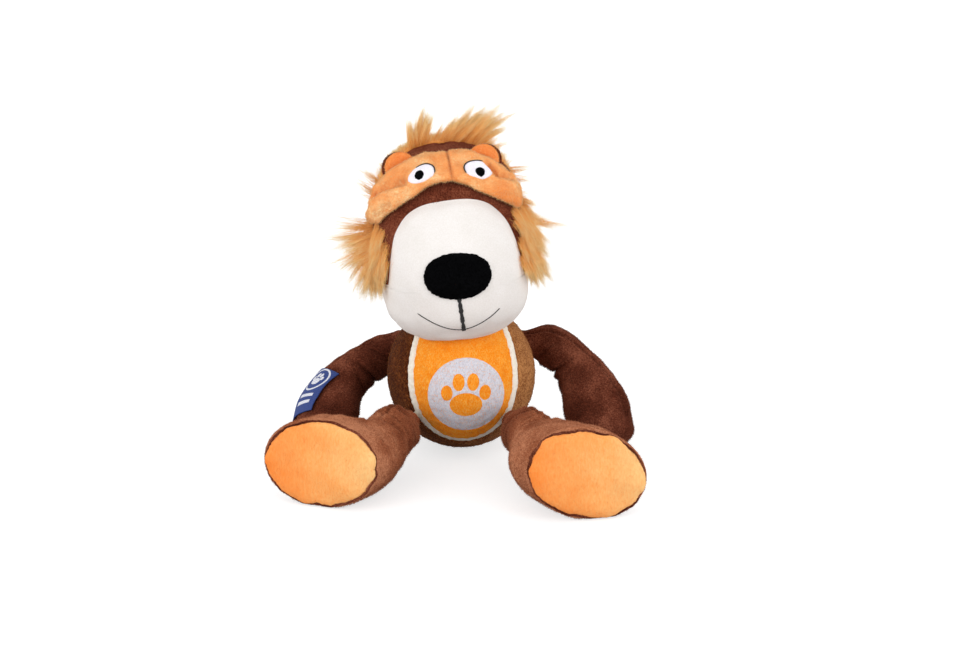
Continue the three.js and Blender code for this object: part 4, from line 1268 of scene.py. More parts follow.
def mask_place(angle, distance):
    """Places on the head a distance up or down from the mask's middle line."""
    angle, distance = np.broadcast_arrays(angle, distance)
    turn = angle + math.radians(MASK_TURN)
    level = level_of(MASK_HEIGHT - MASK_DROP * (1 - np.cos(angle)))
    ahead = head_point(level + LEVEL_STEP, turn) - head_point(level - LEVEL_STEP, turn)
    span = np.linalg.norm(ahead, axis=-1)
    return head_place(level + 2 * LEVEL_STEP * distance / span, turn)


def mask_form(share, turn, front, back, trim=0.0):
    """Points of the mask's surface in the head's frame, with their outward directions."""
    share, turn = np.broadcast_arrays(share, turn)
    taper = np.sqrt(np.clip(1 - np.abs(share) ** 8, 0, 1))
    pinch = 1 - MASK_PINCH * bell(share, MASK_PINCH_REACH) - MASK_TUCK * bell(share - MASK_SEAM, 0.03)
    high = (MASK_HALF_HEIGHT * pinch * taper - trim) * power(np.cos(turn), MASK_FULLNESS)
    thick = np.where(np.sin(turn) > 0, front, back)
    thick = thick * np.minimum(1, 2 * taper) * power(np.sin(turn), MASK_FULLNESS)
    shorter = 1 - MASK_SHORT * (share > 0) * share**2
    point, normal = mask_place(math.radians(MASK_REACH) * share * shorter, high)
    return point + normal * (MASK_MIDDLE + thick)[..., None], normal


def crease_lines(front):
    """Lines over the mask along which its cloth is drawn in."""
    for side, stops in CREASES.items():
        route = catmull(np.array(stops), np.linspace(0, 1, 50))
        turns = np.arccos(power(np.clip(route[:, 1], -1, 1), 1 / MASK_FULLNESS))
        yield mask_form(side * route[:, 0], turns, front, 1.0)[0]


# Where the mask is puffed out: more thickness, place along it and up it as shares, and reach along and up
MASK_CHEEK = (2.3, 0.74, -0.6, 0.2, 0.4)
MASK_OVER_EYES = (1.2, 0.5, 0.5, 0.4, 0.4)
MASK_THINNER = 1.6
MASK_SEAM_DEPTH = 0.6


def mask_puff(share, level):
    """The thickness of the mask's front: full at the cheeks and over the eyes, thin at its middle seam."""
    front = MASK_THICK - MASK_THINNER
    for more, along, up, long, high in (MASK_CHEEK, MASK_OVER_EYES):
        front = front + more * np.exp(-(((np.abs(share) - along) / long) ** 2) - ((level - up) / high) ** 2)
    return front * (1 - MASK_SEAM_DEPTH * bell(share - MASK_SEAM, 0.02))


# A crease of the mask: depth and reach of its valley, then height, place and reach of the ridge beside it
CREASE_VALLEY = (3.3, 1.2)
CREASE_RIDGE = (0.7, 3.2, 1.4)


def mask_front_points(share, turn):
    """The mask's padded front, with its creases and soft lumps."""
    front = mask_puff(share, power(np.cos(turn), MASK_FULLNESS))
    points, normal = mask_form(share, turn, front, MASK_MIDDLE - GAP - MASK_LINING)
    outside = np.clip(np.sin(turn), 0, 1)
    dent = np.zeros(points.shape[:-1])
    valley, sharp = CREASE_VALLEY
    ridge, beside, wide = CREASE_RIDGE
    for line in crease_lines(MASK_THICK - 1):
        gap = near(points, line)
        dent = dent + valley * bell(gap, sharp) - ridge * bell(gap - beside, wide)
    lobes = 0.6 * lumps(points, 13, 71) + 0.3 * lumps(points, 5.5, 72)
    return points + normal * ((lobes - dent) * outside)[..., None]


def along_mask(count):
    """Places along the mask as shares, closer together towards its ends."""
    return np.sin(np.linspace(-1, 1, count)[1:-1] * math.pi / 2)[:, None]


def build_mask():
    """The padded orange band over the brow and its thin brown lining."""
    turn = circle(80)[None]
    front = mask_front_points(along_mask(221), turn)
    ends = [mask_form(np.array(side * MASK_END), np.array(0.0), 0.0, 0.0)[0] for side in (-1.0, 1.0)]
    rings, start, end = map(head_to_world, (front, *ends))
    mask = loft("mask_band", rings, start, end, "orange", "orange_plush", "head")
    stuffed(mask, "mask_front")
    low = MASK_MIDDLE - GAP
    inner, _ = mask_form(along_mask(81), turn[:, ::2], MASK_LINING - low, low, GAP)
    rings, start, end = map(head_to_world, (inner, *ends))
    lining = loft("mask_back", rings, start, end, "brown", "brown_plush", "head")
    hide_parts("mask_lining")
    pile(mask, 22000, 1.0, "orange_pile", (0, -0.1, -0.6), 73, width=0.17)
    return mask


def eye_edge(side, tilt):
    """A drop-shaped outline with its blunt end inwards and up."""

    def edge(turn):
        long = EYE_HALF_LENGTH * np.cos(turn)
        high = EYE_HALF_HEIGHT * np.sin(turn) * (1 + 0.08 * np.cos(turn))
        cos, sin = math.cos(math.radians(tilt)), math.sin(math.radians(tilt))
        x = -side * (long * cos - high * sin)
        return np.stack([x, long * sin + high * cos], -1)

    return edge


# Eyes: the angle along the mask and the height over its middle line, of each white and of its pupil
EYE_PLACES = {-1: (-17.8, -3.5), 1: (26.8, -2.0)}
PUPIL_PLACES = {-1: (-18.5, -4.3), 1: (26.9, -3.1)}
EYE_TILT = {-1: 31, 1: 29}
EYE_ARCS = {-1: (-30, 95), 1: (-40, 100)}


def eye_frame(side, place):
    """A place on the mask's front, with its outward, sideways and upward directions."""
    angle, rise = place[side]
    point, normal = mask_place(np.array(math.radians(angle)), np.array(float(rise)))
    out = head_turn @ normal
    across = unit(np.cross(up_way, out))
    return head_to_world(point + normal * (MASK_MIDDLE + MASK_THICK)), out, across, np.cross(out, across)


def swelling(top, skirt):
    """A patch's height, full in the middle and round at its edge."""
    return lambda share: top * np.sqrt(np.clip(1 - share**4, 0, 1)) + skirt


EYE_SWELLING = (0.75, 0.12)
PUPIL_SWELLING = (0.4, 0)
EYE_THREAD = 0.3
EYE_THREAD_OUT = 1.04


def build_eyes(mask):
    """White ovals on the mask, a black dot on each and a black thread round its upper, inner side."""
    ground = surface_of(mask)
    for name, side in SIDES:
        origin, out, across, rise = eye_frame(side, EYE_PLACES)
        edge = eye_edge(side, EYE_TILT[side])
        shape = (across, rise, edge, swelling(*EYE_SWELLING), ground)
        finish = ("eye_white", "white_plush", "head")
        white = patch(f"eye_oval_{name}", origin, *shape, *finish, rings=10)
        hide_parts(f"eye_white_{name}")
        place = eye_frame(side, PUPIL_PLACES)[0]
        disc = scalloped(PUPIL_RADIUS, PUPIL_RADIUS, 0.08, 1.2, 64)
        shape = (across, rise, disc, swelling(*PUPIL_SWELLING), surface_of(white))
        pupil = patch(f"pupil_dot_{name}", place, *shape, *BLACK_CLOTH, rings=8, around=48, sink=0.2)
        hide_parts(f"pupil_{name}")
        turn = np.radians(np.linspace(*EYE_ARCS[side], 70))
        flat = edge(turn) * EYE_THREAD_OUT
        line = cast(ground, on_plane(origin, flat, across, rise), out) + out * EYE_THREAD
        threads(f"eye_line_{name}", [line], EYE_THREAD, *BLACK_THREAD)


# Ears: half rounds of two cloths, sewn along the edge


EAR_FOOT = 8.5
EAR_FIT = {-1: (0.2, -1.1), 1: (-1.6, -0.7)}
EAR_WALL = 0.55

# The two layers of an ear: side, puff, paint, slot and how far it is moved outwards
EAR_LAYERS = {
    "front": (-1, 1.5, "ear", "orange_plush", -0.3),
    "back": (1, 1.2, "head_brown", "brown_plush", 1.1),
}


def ear_outline(turn):
    """From the foot over the top and back to the foot."""
    x = EAR_RADIUS * np.cos(turn)
    high = np.where(np.sin(turn) > 0, EAR_RADIUS, EAR_FOOT)
    return np.stack([x, EAR_HEIGHT + high * np.sin(turn)], -1)


def ear_stand(side):
    """An ear's foot in the head's frame, with its sideways and upward directions."""
    angle = np.array(math.radians(side * EAR_ANGLE))
    foot = mask_place(angle, np.array(MASK_HALF_HEIGHT - EAR_THICK))[0]
    foot = foot + np.array([EAR_FIT[side][0], MASK_THICK / 2, EAR_FIT[side][1]])
    splay = math.radians(side * EAR_SPLAY)
    across = np.array([math.cos(splay), 0, -math.sin(splay)])
    return foot, across, np.array([math.sin(splay), 0, math.cos(splay)])


def build_ear_layer(layer, name, side, stand):
    """One cloth of an ear: a stuffed half round."""
    way, puff, paint, slot, outward = EAR_LAYERS[layer]
    foot, across, upward = stand
    outline = ear_outline(circle(72))
    share = bulge(10)
    hub = np.array([0, EAR_HEIGHT])
    flat = hub + (outline[None] - hub) * share[:, None, None]
    place = on_plane(foot, flat, across, upward)
    middle = foot + EAR_HEIGHT * upward
    swell = np.sqrt(np.clip(1 - share**3, 0, 1))[:, None, None]
    near_side, thick = GAP / 2, EAR_THICK * EAR_WALL
    shift = side * outward * across
    ahead = np.array([0, way, 0])
    puffed = shift + place + ahead * (near_side + thick + puff * swell)
    rim = shift + place[::-1] + ahead * near_side
    start = shift + middle + ahead * (near_side + thick + puff)
    end = shift + middle + ahead * near_side
    rings = np.concatenate([puffed, rim])
    piece = loft(f"ear_{layer}_pad_{name}", *map(head_to_world, (rings, start, end)), paint, slot, "head")
    tidy(piece)
    stuffed(piece, f"ear_{layer}_{name}")
    pile(piece, 2600, 0.8, paint + "_pile", (0, 0, 0.2), 81 + side + way * 3)


EAR_STITCH_TURNS = (-8, 189, 9)
EAR_STITCH_LONG = 0.93
EAR_STITCH_PAST = 0.9
EAR_STITCH_RADIUS = 0.24


def build_ear_stitches(name, side, stand):
    """Stitches over an ear's rim, from the back layer outwards."""
    foot, across, upward = stand
    hub = np.array([0, EAR_HEIGHT])
    paths = []
    for turn in np.radians(np.arange(*EAR_STITCH_TURNS)):
        edge = ear_outline(np.array([turn]))[0]
        inner = hub + (edge - hub) * EAR_STITCH_LONG
        rim, low = (on_plane(foot, flat, across, upward) for flat in (edge, inner))
        past = rim + side * EAR_STITCH_PAST * across
        bow = [low + [0, 2.2, 0], low * 0.7 + rim * 0.3 + [0, 2.1, 0], past + [0, 0.9, 0], past]
        paths.append(head_to_world(np.array(bow)))
    threads(f"ear_stitches_{name}", paths, EAR_STITCH_RADIUS, *BLACK_THREAD)


def build_ears():
    """The two ears, each of two layers that are sewn together along the rim."""
    for name, side in SIDES:
        stand = ear_stand(side)
        for layer in EAR_LAYERS:
            build_ear_layer(layer, name, side, stand)
        build_ear_stitches(name, side, stand)


# Mane: long fur on a strip behind the brow

MANE_FRONT = BROW_BACK - MANE_WIDTH / 4
MANE_CHEEK = 7
MANE_CHEEK_START = 62
MANE_CHEEK_RUN = 22

# Locks of the mane: turn from the top and depth of the root, the way that the lock points as a turn from
# upwards, its length, the spread of its roots and its share of the fibres
LOCKS = {
    "top": (
        (-28, 11, -30, 5, 3.0, 0.2),
        (-16, 8, 2, 12, 1.3, 0.9),
        (-12, 8, 11, 16, 1.5, 1.5),
        (-8, 9, 30, 7, 1.5, 0.1),
        (-3, 9, 34, 10, 1.6, 0.15),
        (2, 9, 38, 14, 2.2, 0.7),
        (6, 9, 42, 18, 2.8, 1.5),
        (12, 9, 54, 20, 2.6, 1.5),
        (17, 8, 62, 21, 2.6, 1.2),
        (20, 10, 50, 12, 3.0, 0.6),
        (25, 11, 66, 11, 3.0, 0.4),
        (32, 12, 76, 7, 3.5, 0.25),
    ),
    "left": (
        (-42, 11, -34, 7, 2.6, 0.12),
        (-49, 9, -42, 14, 1.4, 0.22),
        (-55, 8, -54, 14, 1.4, 0.22),
        (-59, 8, -62, 8, 2.0, 0.1),
        (-75, 0, -84, 20, 1.6, 0.5),
        (-79, -5, -92, 22, 2.4, 0.9),
        (-82, -9, -101, 18, 3.0, 1.1),
        (-86, -11, -112, 17, 3.0, 1.1),
        (-90, -12, -128, 18, 3.0, 1.0),
        (-70, -19, -162, 13, 2.8, 1.2),
        (-72, -22, -174, 12, 2.4, 0.7),
        (-79, -21, -160, 14, 3.0, 1.2),
        (-80, -25, 180, 12, 2.6, 0.5),
        (-91, -15, -150, 17, 3.4, 1.2),
        (-90, -19, -164, 18, 3.4, 1.3),
        (-86, -23, -176, 17, 3.2, 1.3),
        (-92, -25, -178, 14, 3.0, 0.7),
        (-101, -23, 178, 12, 3.2, 1.2),
        (-102, -10, -158, 15, 3.8, 1.2),
        (-104, 2, -140, 15, 4.5, 1.1),
        (-112, 8, -150, 13, 4.5, 1.1),
        (-92, 8, -112, 15, 4.5, 1.0),
        (-82, -2, -164, 11, 3.6, 0.8),
        (-90, -5, -166, 12, 4.0, 1.0),
        (-98, -4, -168, 12, 4.0, 1.0),
        (-106, -6, -170, 11, 4.0, 0.9),
    ),
    "right": (
        (42, 11, 74, 7, 2.4, 0.12),
        (48, 9, 90, 12, 1.2, 0.2),
        (54, 8, 98, 12, 1.4, 0.2),
        (61, 6, 108, 6, 2.6, 0.15),
        (70, -3, 122, 8, 3.2, 0.8),
        (76, -8, 116, 9, 3.2, 0.9),
        (80, -4, 109, 18, 1.5, 0.4),
        (64, -21, 158, 12, 2.6, 1.1),
        (70, -20, 152, 13, 2.8, 1.1),
        (70, -24, 164, 12, 2.4, 0.7),
        (79, -16, 150, 14, 3.2, 1.2),
        (78, -24, 163, 14, 3.0, 1.3),
        (87, -25, 164, 12, 2.6, 0.5),
        (86, -12, 142, 13, 3.4, 1.2),
        (88, -20, 160, 15, 3.2, 1.3),
        (94, -26, 168, 14, 2.8, 1.3),
        (98, -27, 166, 12, 2.6, 0.6),
        (97, -14, 142, 15, 3.4, 1.2),
        (103, -20, 158, 13, 3.4, 1.2),
        (106, -8, 134, 16, 3.2, 1.0),
        (111, -14, 160, 12, 3.4, 1.0),
        (104, 4, 128, 14, 4.5, 1.0),
        (113, 8, 150, 13, 4.5, 1.0),
        (90, 8, 104, 12, 4.5, 0.9),
        (78, 0, 160, 11, 3.6, 0.8),
        (86, -3, 163, 12, 4.0, 1.0),
        (94, -5, 165, 12, 4.0, 1.0),
        (102, -2, 168, 12, 4.0, 1.0),
        (109, -3, 170, 11, 4.0, 0.9),
    ),
}


def mane_front(turn):
    """How far forward the long fur starts, at angles in degrees from the top: further on the cheeks."""
    cheek = np.clip((np.abs(turn) - MANE_CHEEK_START) / MANE_CHEEK_RUN, 0, 1)
    return MANE_FRONT - MANE_CHEEK * cheek**2 * (3 - 2 * cheek)


ROOT_HALVINGS = 26


def mane_roots(turn, back):
    """Points of the head's surface at angles from the top, seen from a hub in the head's middle."""
    out = np.stack([np.sin(turn), 0 * turn, np.cos(turn)], -1)
    hub = np.stack([0 * back, back, 0 * back + HEAD_BOTTOM + HEAD_HEIGHT / 2], -1)
    low, high = np.zeros(turn.shape), np.full(turn.shape, 2.0 * HEAD_HALF_WIDTH)
    for _ in range(ROOT_HALVINGS):
        middle = (low + high) / 2
        inside = head_depth(hub + out * middle[..., None]) < 1
        low, high = np.where(inside, middle, low), np.where(inside, high, middle)
    return hub + out * low[..., None], out


STRIP_COLUMNS = 16
STRIP_HIGH = 0.9
STRIP_LOW = 0.4
STRIP_SHADE = 0.2


def mane_strip(name, first, last):
    """The cloth that the long fur stands on."""
    rows = np.radians(np.linspace(first, last, 60))[:, None]
    fronts = mane_front(np.degrees(rows))
    backs = fronts + (MANE_FRONT + MANE_WIDTH - fronts) * np.linspace(0, 1, STRIP_COLUMNS)[None]
    roots, out = mane_roots(*np.broadcast_arrays(rows, backs))
    edge = np.sqrt(np.clip(1 - np.linspace(-1, 1, STRIP_COLUMNS) ** 8, 0, 1))[None, :, None]
    top = head_to_world(roots + out * STRIP_HIGH * edge)
    low = head_to_world(roots - out * STRIP_LOW)
    piece = slab(name, top, low, "mane", "mane_fur", "head")
    layer = piece.data.uv_layers.new(name="UVMap")
    layer.data.foreach_set("uv", np.full(2 * len(piece.data.loops), STRIP_SHADE, np.float32))
    return piece


FUR_ROOT_LIFT = 0.1
FUR_SEGMENTS = 3


def fur(name, roots, away, start, bend, lengths, widths, rng):
    """Fibres of the mane from directions in the head's frame."""
    places = head_to_world(roots + away * FUR_ROOT_LIFT)
    ways, bends = start @ head_turn.T, bend @ head_turn.T
    finish = ("mane", "mane_fur", "head", rng)
    return fibres(name, places, ways, bends, lengths, widths, FUR_SEGMENTS, *finish)


# A lock: its strands and how far they shift and turn, the width of a fibre, how far the locks of the cheeks
# point forwards, the share of stray fibres and how much longer they are, and how fibres keep off the head
LOCK_STRANDS = 8
STRAND_SHIFT = 1.8
STRAND_TURN = 6
LOCK_FIBRE = 0.125
LOCK_AHEAD = 0.1
LOCK_STRAYS = 0.12
STRAY_LENGTH = 1.25
FUR_LEAST_AWAY = 0.15
FUR_CLEAR = 1.04
FUR_PUSH = 25


def locks_of_fibres(name, rows, count, seed):
    """Long fibres in locks of a few strands. The fibres of a strand meet at its tip, and a few stray."""
    rng = np.random.default_rng(seed)
    rows = np.array(rows, float)
    own = rng.choice(len(rows), count, p=rows[:, 5] / rows[:, 5].sum())
    strand = rng.integers(0, LOCK_STRANDS, count)
    shift = rng.normal(0, 1, (len(rows), LOCK_STRANDS, 4)).clip(-STRAND_SHIFT, STRAND_SHIFT)[own, strand]
    turn, back, flow, long, spread = (rows[own, column] for column in range(5))
    ahead = np.where(back <= 0, LOCK_AHEAD, 0.0)
    turn, back = turn + shift[:, 0] * spread, back + shift[:, 1] * spread * 0.8
    hub, _ = mane_roots(np.radians(turn), back)
    loose = rng.normal(0, 1, (2, count)) * (0.3 + 0.35 * spread)
    roots, _ = mane_roots(np.radians(turn + loose[0]), back + loose[1])
    away = head_away(roots)
    stray = rng.random(count) < LOCK_STRAYS
    flow = flow + STRAND_TURN * shift[:, 3] + np.where(stray, 11, 1.5) * rng.normal(0, 1, count)
    flow = np.radians(flow)
    run = unit(np.stack([np.sin(flow), -ahead, np.cos(flow)], -1))
    run = unit(run + away * np.clip(FUR_LEAST_AWAY - (run * away).sum(-1), 0, 1)[:, None])
    long = long * np.exp(0.16 * shift[:, 2]) * np.where(stray, STRAY_LENGTH, 1)
    share = rng.beta(2.2, 1.4, count)[:, None]
    ends = hub + (roots - hub) * (0.95 - 0.5 * share) + run * long[:, None] * share
    ends = ends + away * np.clip(FUR_CLEAR - head_depth(ends), 0, 0.3)[:, None] * FUR_PUSH
    path = ends - roots
    lengths = np.linalg.norm(path, axis=1)
    start = unit(away * 0.35 + unit(path) + rng.normal(0, 0.06, (count, 3)))
    bend = path / lengths[:, None] - start
    widths = LOCK_FIBRE * rng.uniform(0.6, 1.2, count) * np.where(stray, 0.7, 1)
    return fur(name, roots, away, start, bend, lengths, widths, rng)


SHORT_FIBRE = 0.2
SHORT_LENGTH = 4.2
SHORT_CHEEK_LENGTH = 4.0
SHORT_CHEEK_START = 70
SHORT_CHEEK_RUN = 20
SHORT_CHEEK_TURN = 45


def short_fur(name, first, last, count, seed):
    """Short fur that covers the strip: low on top, lying back behind the mask and longer on the cheeks."""
    rng = np.random.default_rng(seed)
    turn = rng.uniform(first, last, count)
    front = mane_front(turn)
    back = front + (MANE_FRONT + MANE_WIDTH - front) * rng.uniform(0, 1, count)
    roots, _ = mane_roots(np.radians(turn), back)
    away = head_away(roots)
    cheek = np.clip((np.abs(turn) - SHORT_CHEEK_START) / SHORT_CHEEK_RUN, 0, 1)
    fall = np.radians(turn + np.sign(turn) * SHORT_CHEEK_TURN * cheek + rng.normal(0, 16, count))
    run = np.stack([np.sin(fall), 1.6 * (1 - cheek) + rng.normal(0, 0.35, count), np.cos(fall)], -1)
    side = np.clip((np.abs(turn) - MANE_SPLIT) / 10, 0, 1)
    lift = (0.35 - 0.2 * side + 0.45 * cheek)[:, None]
    start = unit(away * lift + unit(run) * 0.7)
    bend = 0.5 * unit(run) - 0.3 * away + 0.08 * rng.normal(size=(count, 3))
    lengths = rng.uniform(0.6, 1.2, count) * (SHORT_LENGTH - side + SHORT_CHEEK_LENGTH * cheek)
    return fur(name, roots, away, start, bend, lengths, SHORT_FIBRE, rng)


LOCK_FIBRES = 13000
SHORT_FIBRES = 8000
STRIP_GAP = 0.6
MANE_PARTS = {
    "left": (-MANE_END, -MANE_SPLIT),
    "top": (-MANE_SPLIT, MANE_SPLIT),
    "right": (MANE_SPLIT, MANE_END),
}


def build_mane():
    """The strip, the long fur and the short fur of each of the mane's three parts."""
    for name, (first, last) in MANE_PARTS.items():
        strip = mane_strip(f"mane_strip_{name}", first + STRIP_GAP, last - STRIP_GAP)
        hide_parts(f"mane_{name}")
        locks_of_fibres(f"mane_fur_{name}", LOCKS[name], LOCK_FIBRES, 90 + len(name))
        short_fur(f"mane_fur_short_{name}", first, last, SHORT_FIBRES, 190 + len(name))


# Limbs: sleeves round a knot, filled with fibre

# The round root: degrees from its pole at which a closed one starts, a mouth opens and both end, and how
# many rings each has
ROOT_START = 20
MOUTH_ANGLE = 50
ROOT_END = 84
ROOT_RINGS = 3
MOUTH_RINGS = 9
PATH_STEP = 0.002
REST_PASSES = 4
REST_BEND = 1.5


def ovals(centres, halves, wides, thins, turn):
    """Rings of points round centres, from their half widths and directions."""
    half_wide, half_thin = halves[:, None, :1], halves[:, None, 1:]
    rings = centres[:, None] + half_wide * np.cos(turn)[None, :, None] * wides[:, None]
    return rings + half_thin * np.sin(turn)[None, :, None] * thins[:, None]


class Limb:
    """The path, sizes and directions of an arm or leg."""

    def __init__(self, pivot, shares, sizes, length, side, halves, thin, tip, tip_angles, facing=None):
        self.path = pivot + np.asarray(shares) * [side * length, length, length]
        self.sizes = np.asarray(sizes) * halves
        self.thin, self.tip, self.tip_angles, self.facing = unit(thin), tip, tip_angles, facing
        for _ in range(REST_PASSES):
            low = self.rings(0, 16, 12)[0][..., 2].min()
            sink = (np.arange(len(self.path)) / (len(self.path) - 1)) ** REST_BEND
            self.path[:, 2] -= (low + REST_CUT) * sink

    def frames(self, share):
        """Places along the path, with the limb's forward, wide and thin directions there."""
        share = np.atleast_1d(share)
        centre = catmull(self.path, share)
        ahead = unit(catmull(self.path, share + PATH_STEP) - catmull(self.path, share - PATH_STEP))
        if self.facing:
            ahead = self.facing(share)
        wide = unit(np.cross(self.thin, ahead))
        return centre, ahead, wide, np.cross(ahead, wide)

    def root(self, radius, turn, mouth):
        """Rings over the round root, with the place of each along the limb."""
        centre, ahead, wide, thin = (rows[0] for rows in self.frames(0.0))
        first, count = (MOUTH_ANGLE, MOUTH_RINGS) if mouth else (ROOT_START, ROOT_RINGS)
        angles = np.linspace(math.radians(first), math.radians(ROOT_END), count)
        spokes = np.cos(turn)[:, None] * wide + np.sin(turn)[:, None] * thin
        places = [-radius * math.cos(angle) for angle in angles]
        rings = [centre - ahead * radius * math.cos(at) + spokes * radius * math.sin(at) for at in angles]
        return rings, places, centre - ahead * radius

    def rings(self, grow, around, steps, mouth=False):
        """The rings of a sleeve, with the place of each along the limb and around it, and its two ends."""
        turn = circle(around)
        roots, root_places, start = self.root(ROOT_RADIUS + grow, turn, mouth)
        shares = np.linspace(0, 1, steps + 1)
        centres, aheads, wides, thins = self.frames(shares)
        sizes = catmull(self.sizes, shares) + grow
        run = np.concatenate([[0], np.cumsum(np.linalg.norm(np.diff(centres, axis=0), axis=1))])
        self.length = run[-1]
        tips = np.linspace(0, 90, 3 + steps // 6)[1:-1] if mouth else self.tip_angles
        reach = aheads[-1] * (self.tip + grow)
        rises = np.array([math.sin(angle) for angle in np.radians(tips)])
        halves = np.array([sizes[-1] * math.cos(angle) for angle in np.radians(tips)])
        outs = centres[-1] + reach * rises[:, None]
        body = ovals(centres, sizes, wides, thins, turn)
        ends = ovals(outs, halves, wides[-1:], thins[-1:], turn)
        places = np.concatenate([root_places, run, run[-1] + (self.tip + grow) * rises])
        return np.concatenate([roots, body, ends]), places, turn, start, centres[-1] + reach


HIP = unit(np.array([0.6, -0.716, -0.35]))
ARM_PATHS = {
    -1: (
        (0, 0, 0),
        (0.16, -0.07, -0.095),
        (0.31, -0.165, -0.165),
        (0.44, -0.275, -0.27),
        (0.52, -0.41, -0.38),
        (0.56, -0.55, -0.48),
    ),
    1: (
        (0, 0, 0),
        (0.18, -0.05, -0.01),
        (0.34, -0.15, -0.08),
        (0.45, -0.26, -0.2),
        (0.53, -0.42, -0.34),
        (0.57, -0.58, -0.47),
    ),
}
ARM_THIN = {-1: (-0.55, -1, 0.1), 1: (0.1, -1, 0.1)}
ARM_SIZES = ((0.33, 0.52), (0.59, 0.78), (0.62, 0.86), (0.77, 0.96), (0.95, 1), (0.95, 0.92))
LEG_PATHS = {
    -1: (
        (0, 0, 0),
        (0.04, -0.11, 0.01),
        (0.09, -0.24, 0.01),
        (0.17, -0.42, -0.03),
        (0.29, -0.55, -0.02),
        (0.4, -0.63, 0),
        (0.46, -0.69, 0),
    ),
    1: (
        (0, 0, 0),
        (0.04, -0.12, 0),
        (0.11, -0.31, 0),
        (0.15, -0.47, -0.02),
        (0.22, -0.64, -0.01),
        (0.32, -0.78, 0),
        (0.39, -0.89, 0),
    ),
}
LEG_SIZES = ((0.19, 0.26), (0.38, 0.52), (0.42, 0.56), (0.49, 0.66), (0.74, 0.86), (0.95, 0.98), (1, 1))
SOLE_YAW = {-1: 22, 1: 13}
SOLE_ROLL = {-1: 4, 1: 18}
SOLE_LIFT = 0.08
SOLE_FIT = {-1: (0.5, 0.5), 1: (0.3, 0.3)}
SOLE_FULLNESS = 0.97
SOLE_EDGE = 0.4
SOLE_EVENING = 12
SEAM_REACH = 1.02
SEAM_THREAD = 0.55
SEAM_OVERLAP = 0.3
TAG_SHARE = 0.74
ARM_TIP_SHARE = 0.8
ARM_TIP_ANGLES = (30, 60)
LEG_TIP_ANGLES = (20, 50)
FILLING_INSIDE = 3.2
FILLING_START = 5
FILLING_LOWEST = 3
BARE_ROOT = 2.5
BARE_RIM = 2.4

# Folds of the cloth: place along the limb, place around it in degrees, reach around it, depth and slant
ARM_FOLDS = {
    -1: ((0.36, 20, 60, 1.6, 0.05), (0.5, 30, 50, 0.9, -0.06), (0.2, 80, 50, 0.7, 0.1)),
    1: ((0.36, 165, 65, 1.8, -0.06), (0.46, 180, 40, 0.8, 0.05), (0.2, 110, 50, 0.7, -0.1)),
}
LEG_FOLDS = {
    -1: (
        (0.62, 25, 80, 2.4, 0.05),
        (0.22, 60, 90, 0.9, 0.02),
        (0.37, 80, 90, 2.4, -0.03),
        (0.48, 60, 70, 1.6, 0.04),
        (0.27, 300, 60, 0.8, 0),
    ),
    1: (
        (0.6, 150, 80, 2.2, -0.05),
        (0.22, 110, 90, 0.9, -0.02),
        (0.35, 95, 90, 2.5, 0.03),
        (0.46, 120, 70, 1.7, -0.04),
        (0.26, 250, 60, 0.8, 0),
    ),
}
ARM_SEAMS = {-1: (140, 320), 1: (40, 220)}
LEG_SEAMS = (90,)


EASE_BELOW = 0.75
EASE_SHARE = 0.45


def eased(rings, passes):
    """Evens out rings that crowd or cross where a limb bends sharply."""
    middles = rings.mean(1)
    for _ in range(passes):
        ahead = unit(np.gradient(middles, axis=0))[:-1, None]
        usual = np.linalg.norm(np.diff(middles, axis=0), axis=1)[:, None]
        forward = (np.diff(rings, axis=0) * ahead).sum(-1) / usual
        tight = np.clip(EASE_BELOW - forward, 0, 0.5) * 2
        share = np.maximum(tight[:-1], tight[1:])[..., None]
        rings[1:-1] += share * EASE_SHARE * ((rings[:-2] + rings[2:]) / 2 - rings[1:-1])
    return rings


def from_angle(turn, degrees):
    """How far angles around a limb are from one of them, in degrees."""
    return (np.degrees(turn)[None] - degrees + 180) % 360 - 180


# A fold is a sharp valley with a low ridge beside it, and a seam a valley between two ridges: the depth,
# the place and the reach of each, in millimetres
FOLD_VALLEY = (1.5, 0.9)
FOLD_RIDGE = (0.4, 3, 1.8)
SEAM_VALLEY = 0.6
SEAM_RIDGE = (0.7, 1.7, 0.7)
SEAM_LIMB_RADIUS = 10


def cloth_dents(limb, share, turn, folds, seams):
    """How deep a sleeve's folds and sewn seams draw it in."""
    depth = np.zeros((len(share), len(turn)))
    valley, sharp = FOLD_VALLEY
    ridge, beside, wide = FOLD_RIDGE
    for at, around_at, reach, fold, slant in folds:
        away = from_angle(turn, around_at)
        line = (share - at - slant * np.sin(np.radians(away))) * limb.length
        profile = valley * np.exp(-np.abs(line) / sharp) - ridge * bell(line - beside, wide)
        depth += fold * bell(away, reach) * profile
    ridge, beside, spread = SEAM_RIDGE
    for at in seams:
        away = np.radians(from_angle(turn, at)) * SEAM_LIMB_RADIUS
        depth += bell(away, SEAM_VALLEY) - ridge * np.exp(-((np.abs(away) - beside) ** 2) / spread)
    return depth


FLAT_BELOW = 0.8
FLAT_LOWEST = 0.05
FLAT_SOFTNESS = 1.5


def rested(height):
    """Heights of cloth that lies on the floor: flattened near it and never under it."""
    pressed = FLAT_LOWEST + (FLAT_BELOW - FLAT_LOWEST) * np.exp((height - FLAT_BELOW) / FLAT_SOFTNESS)
    return np.where(height < FLAT_BELOW, pressed, height)


SLEEVE_AROUND = 132
SLEEVE_STEPS = 110
GATHERS = 9
GATHER_DEPTH = 0.1
GATHER_REACH = 4


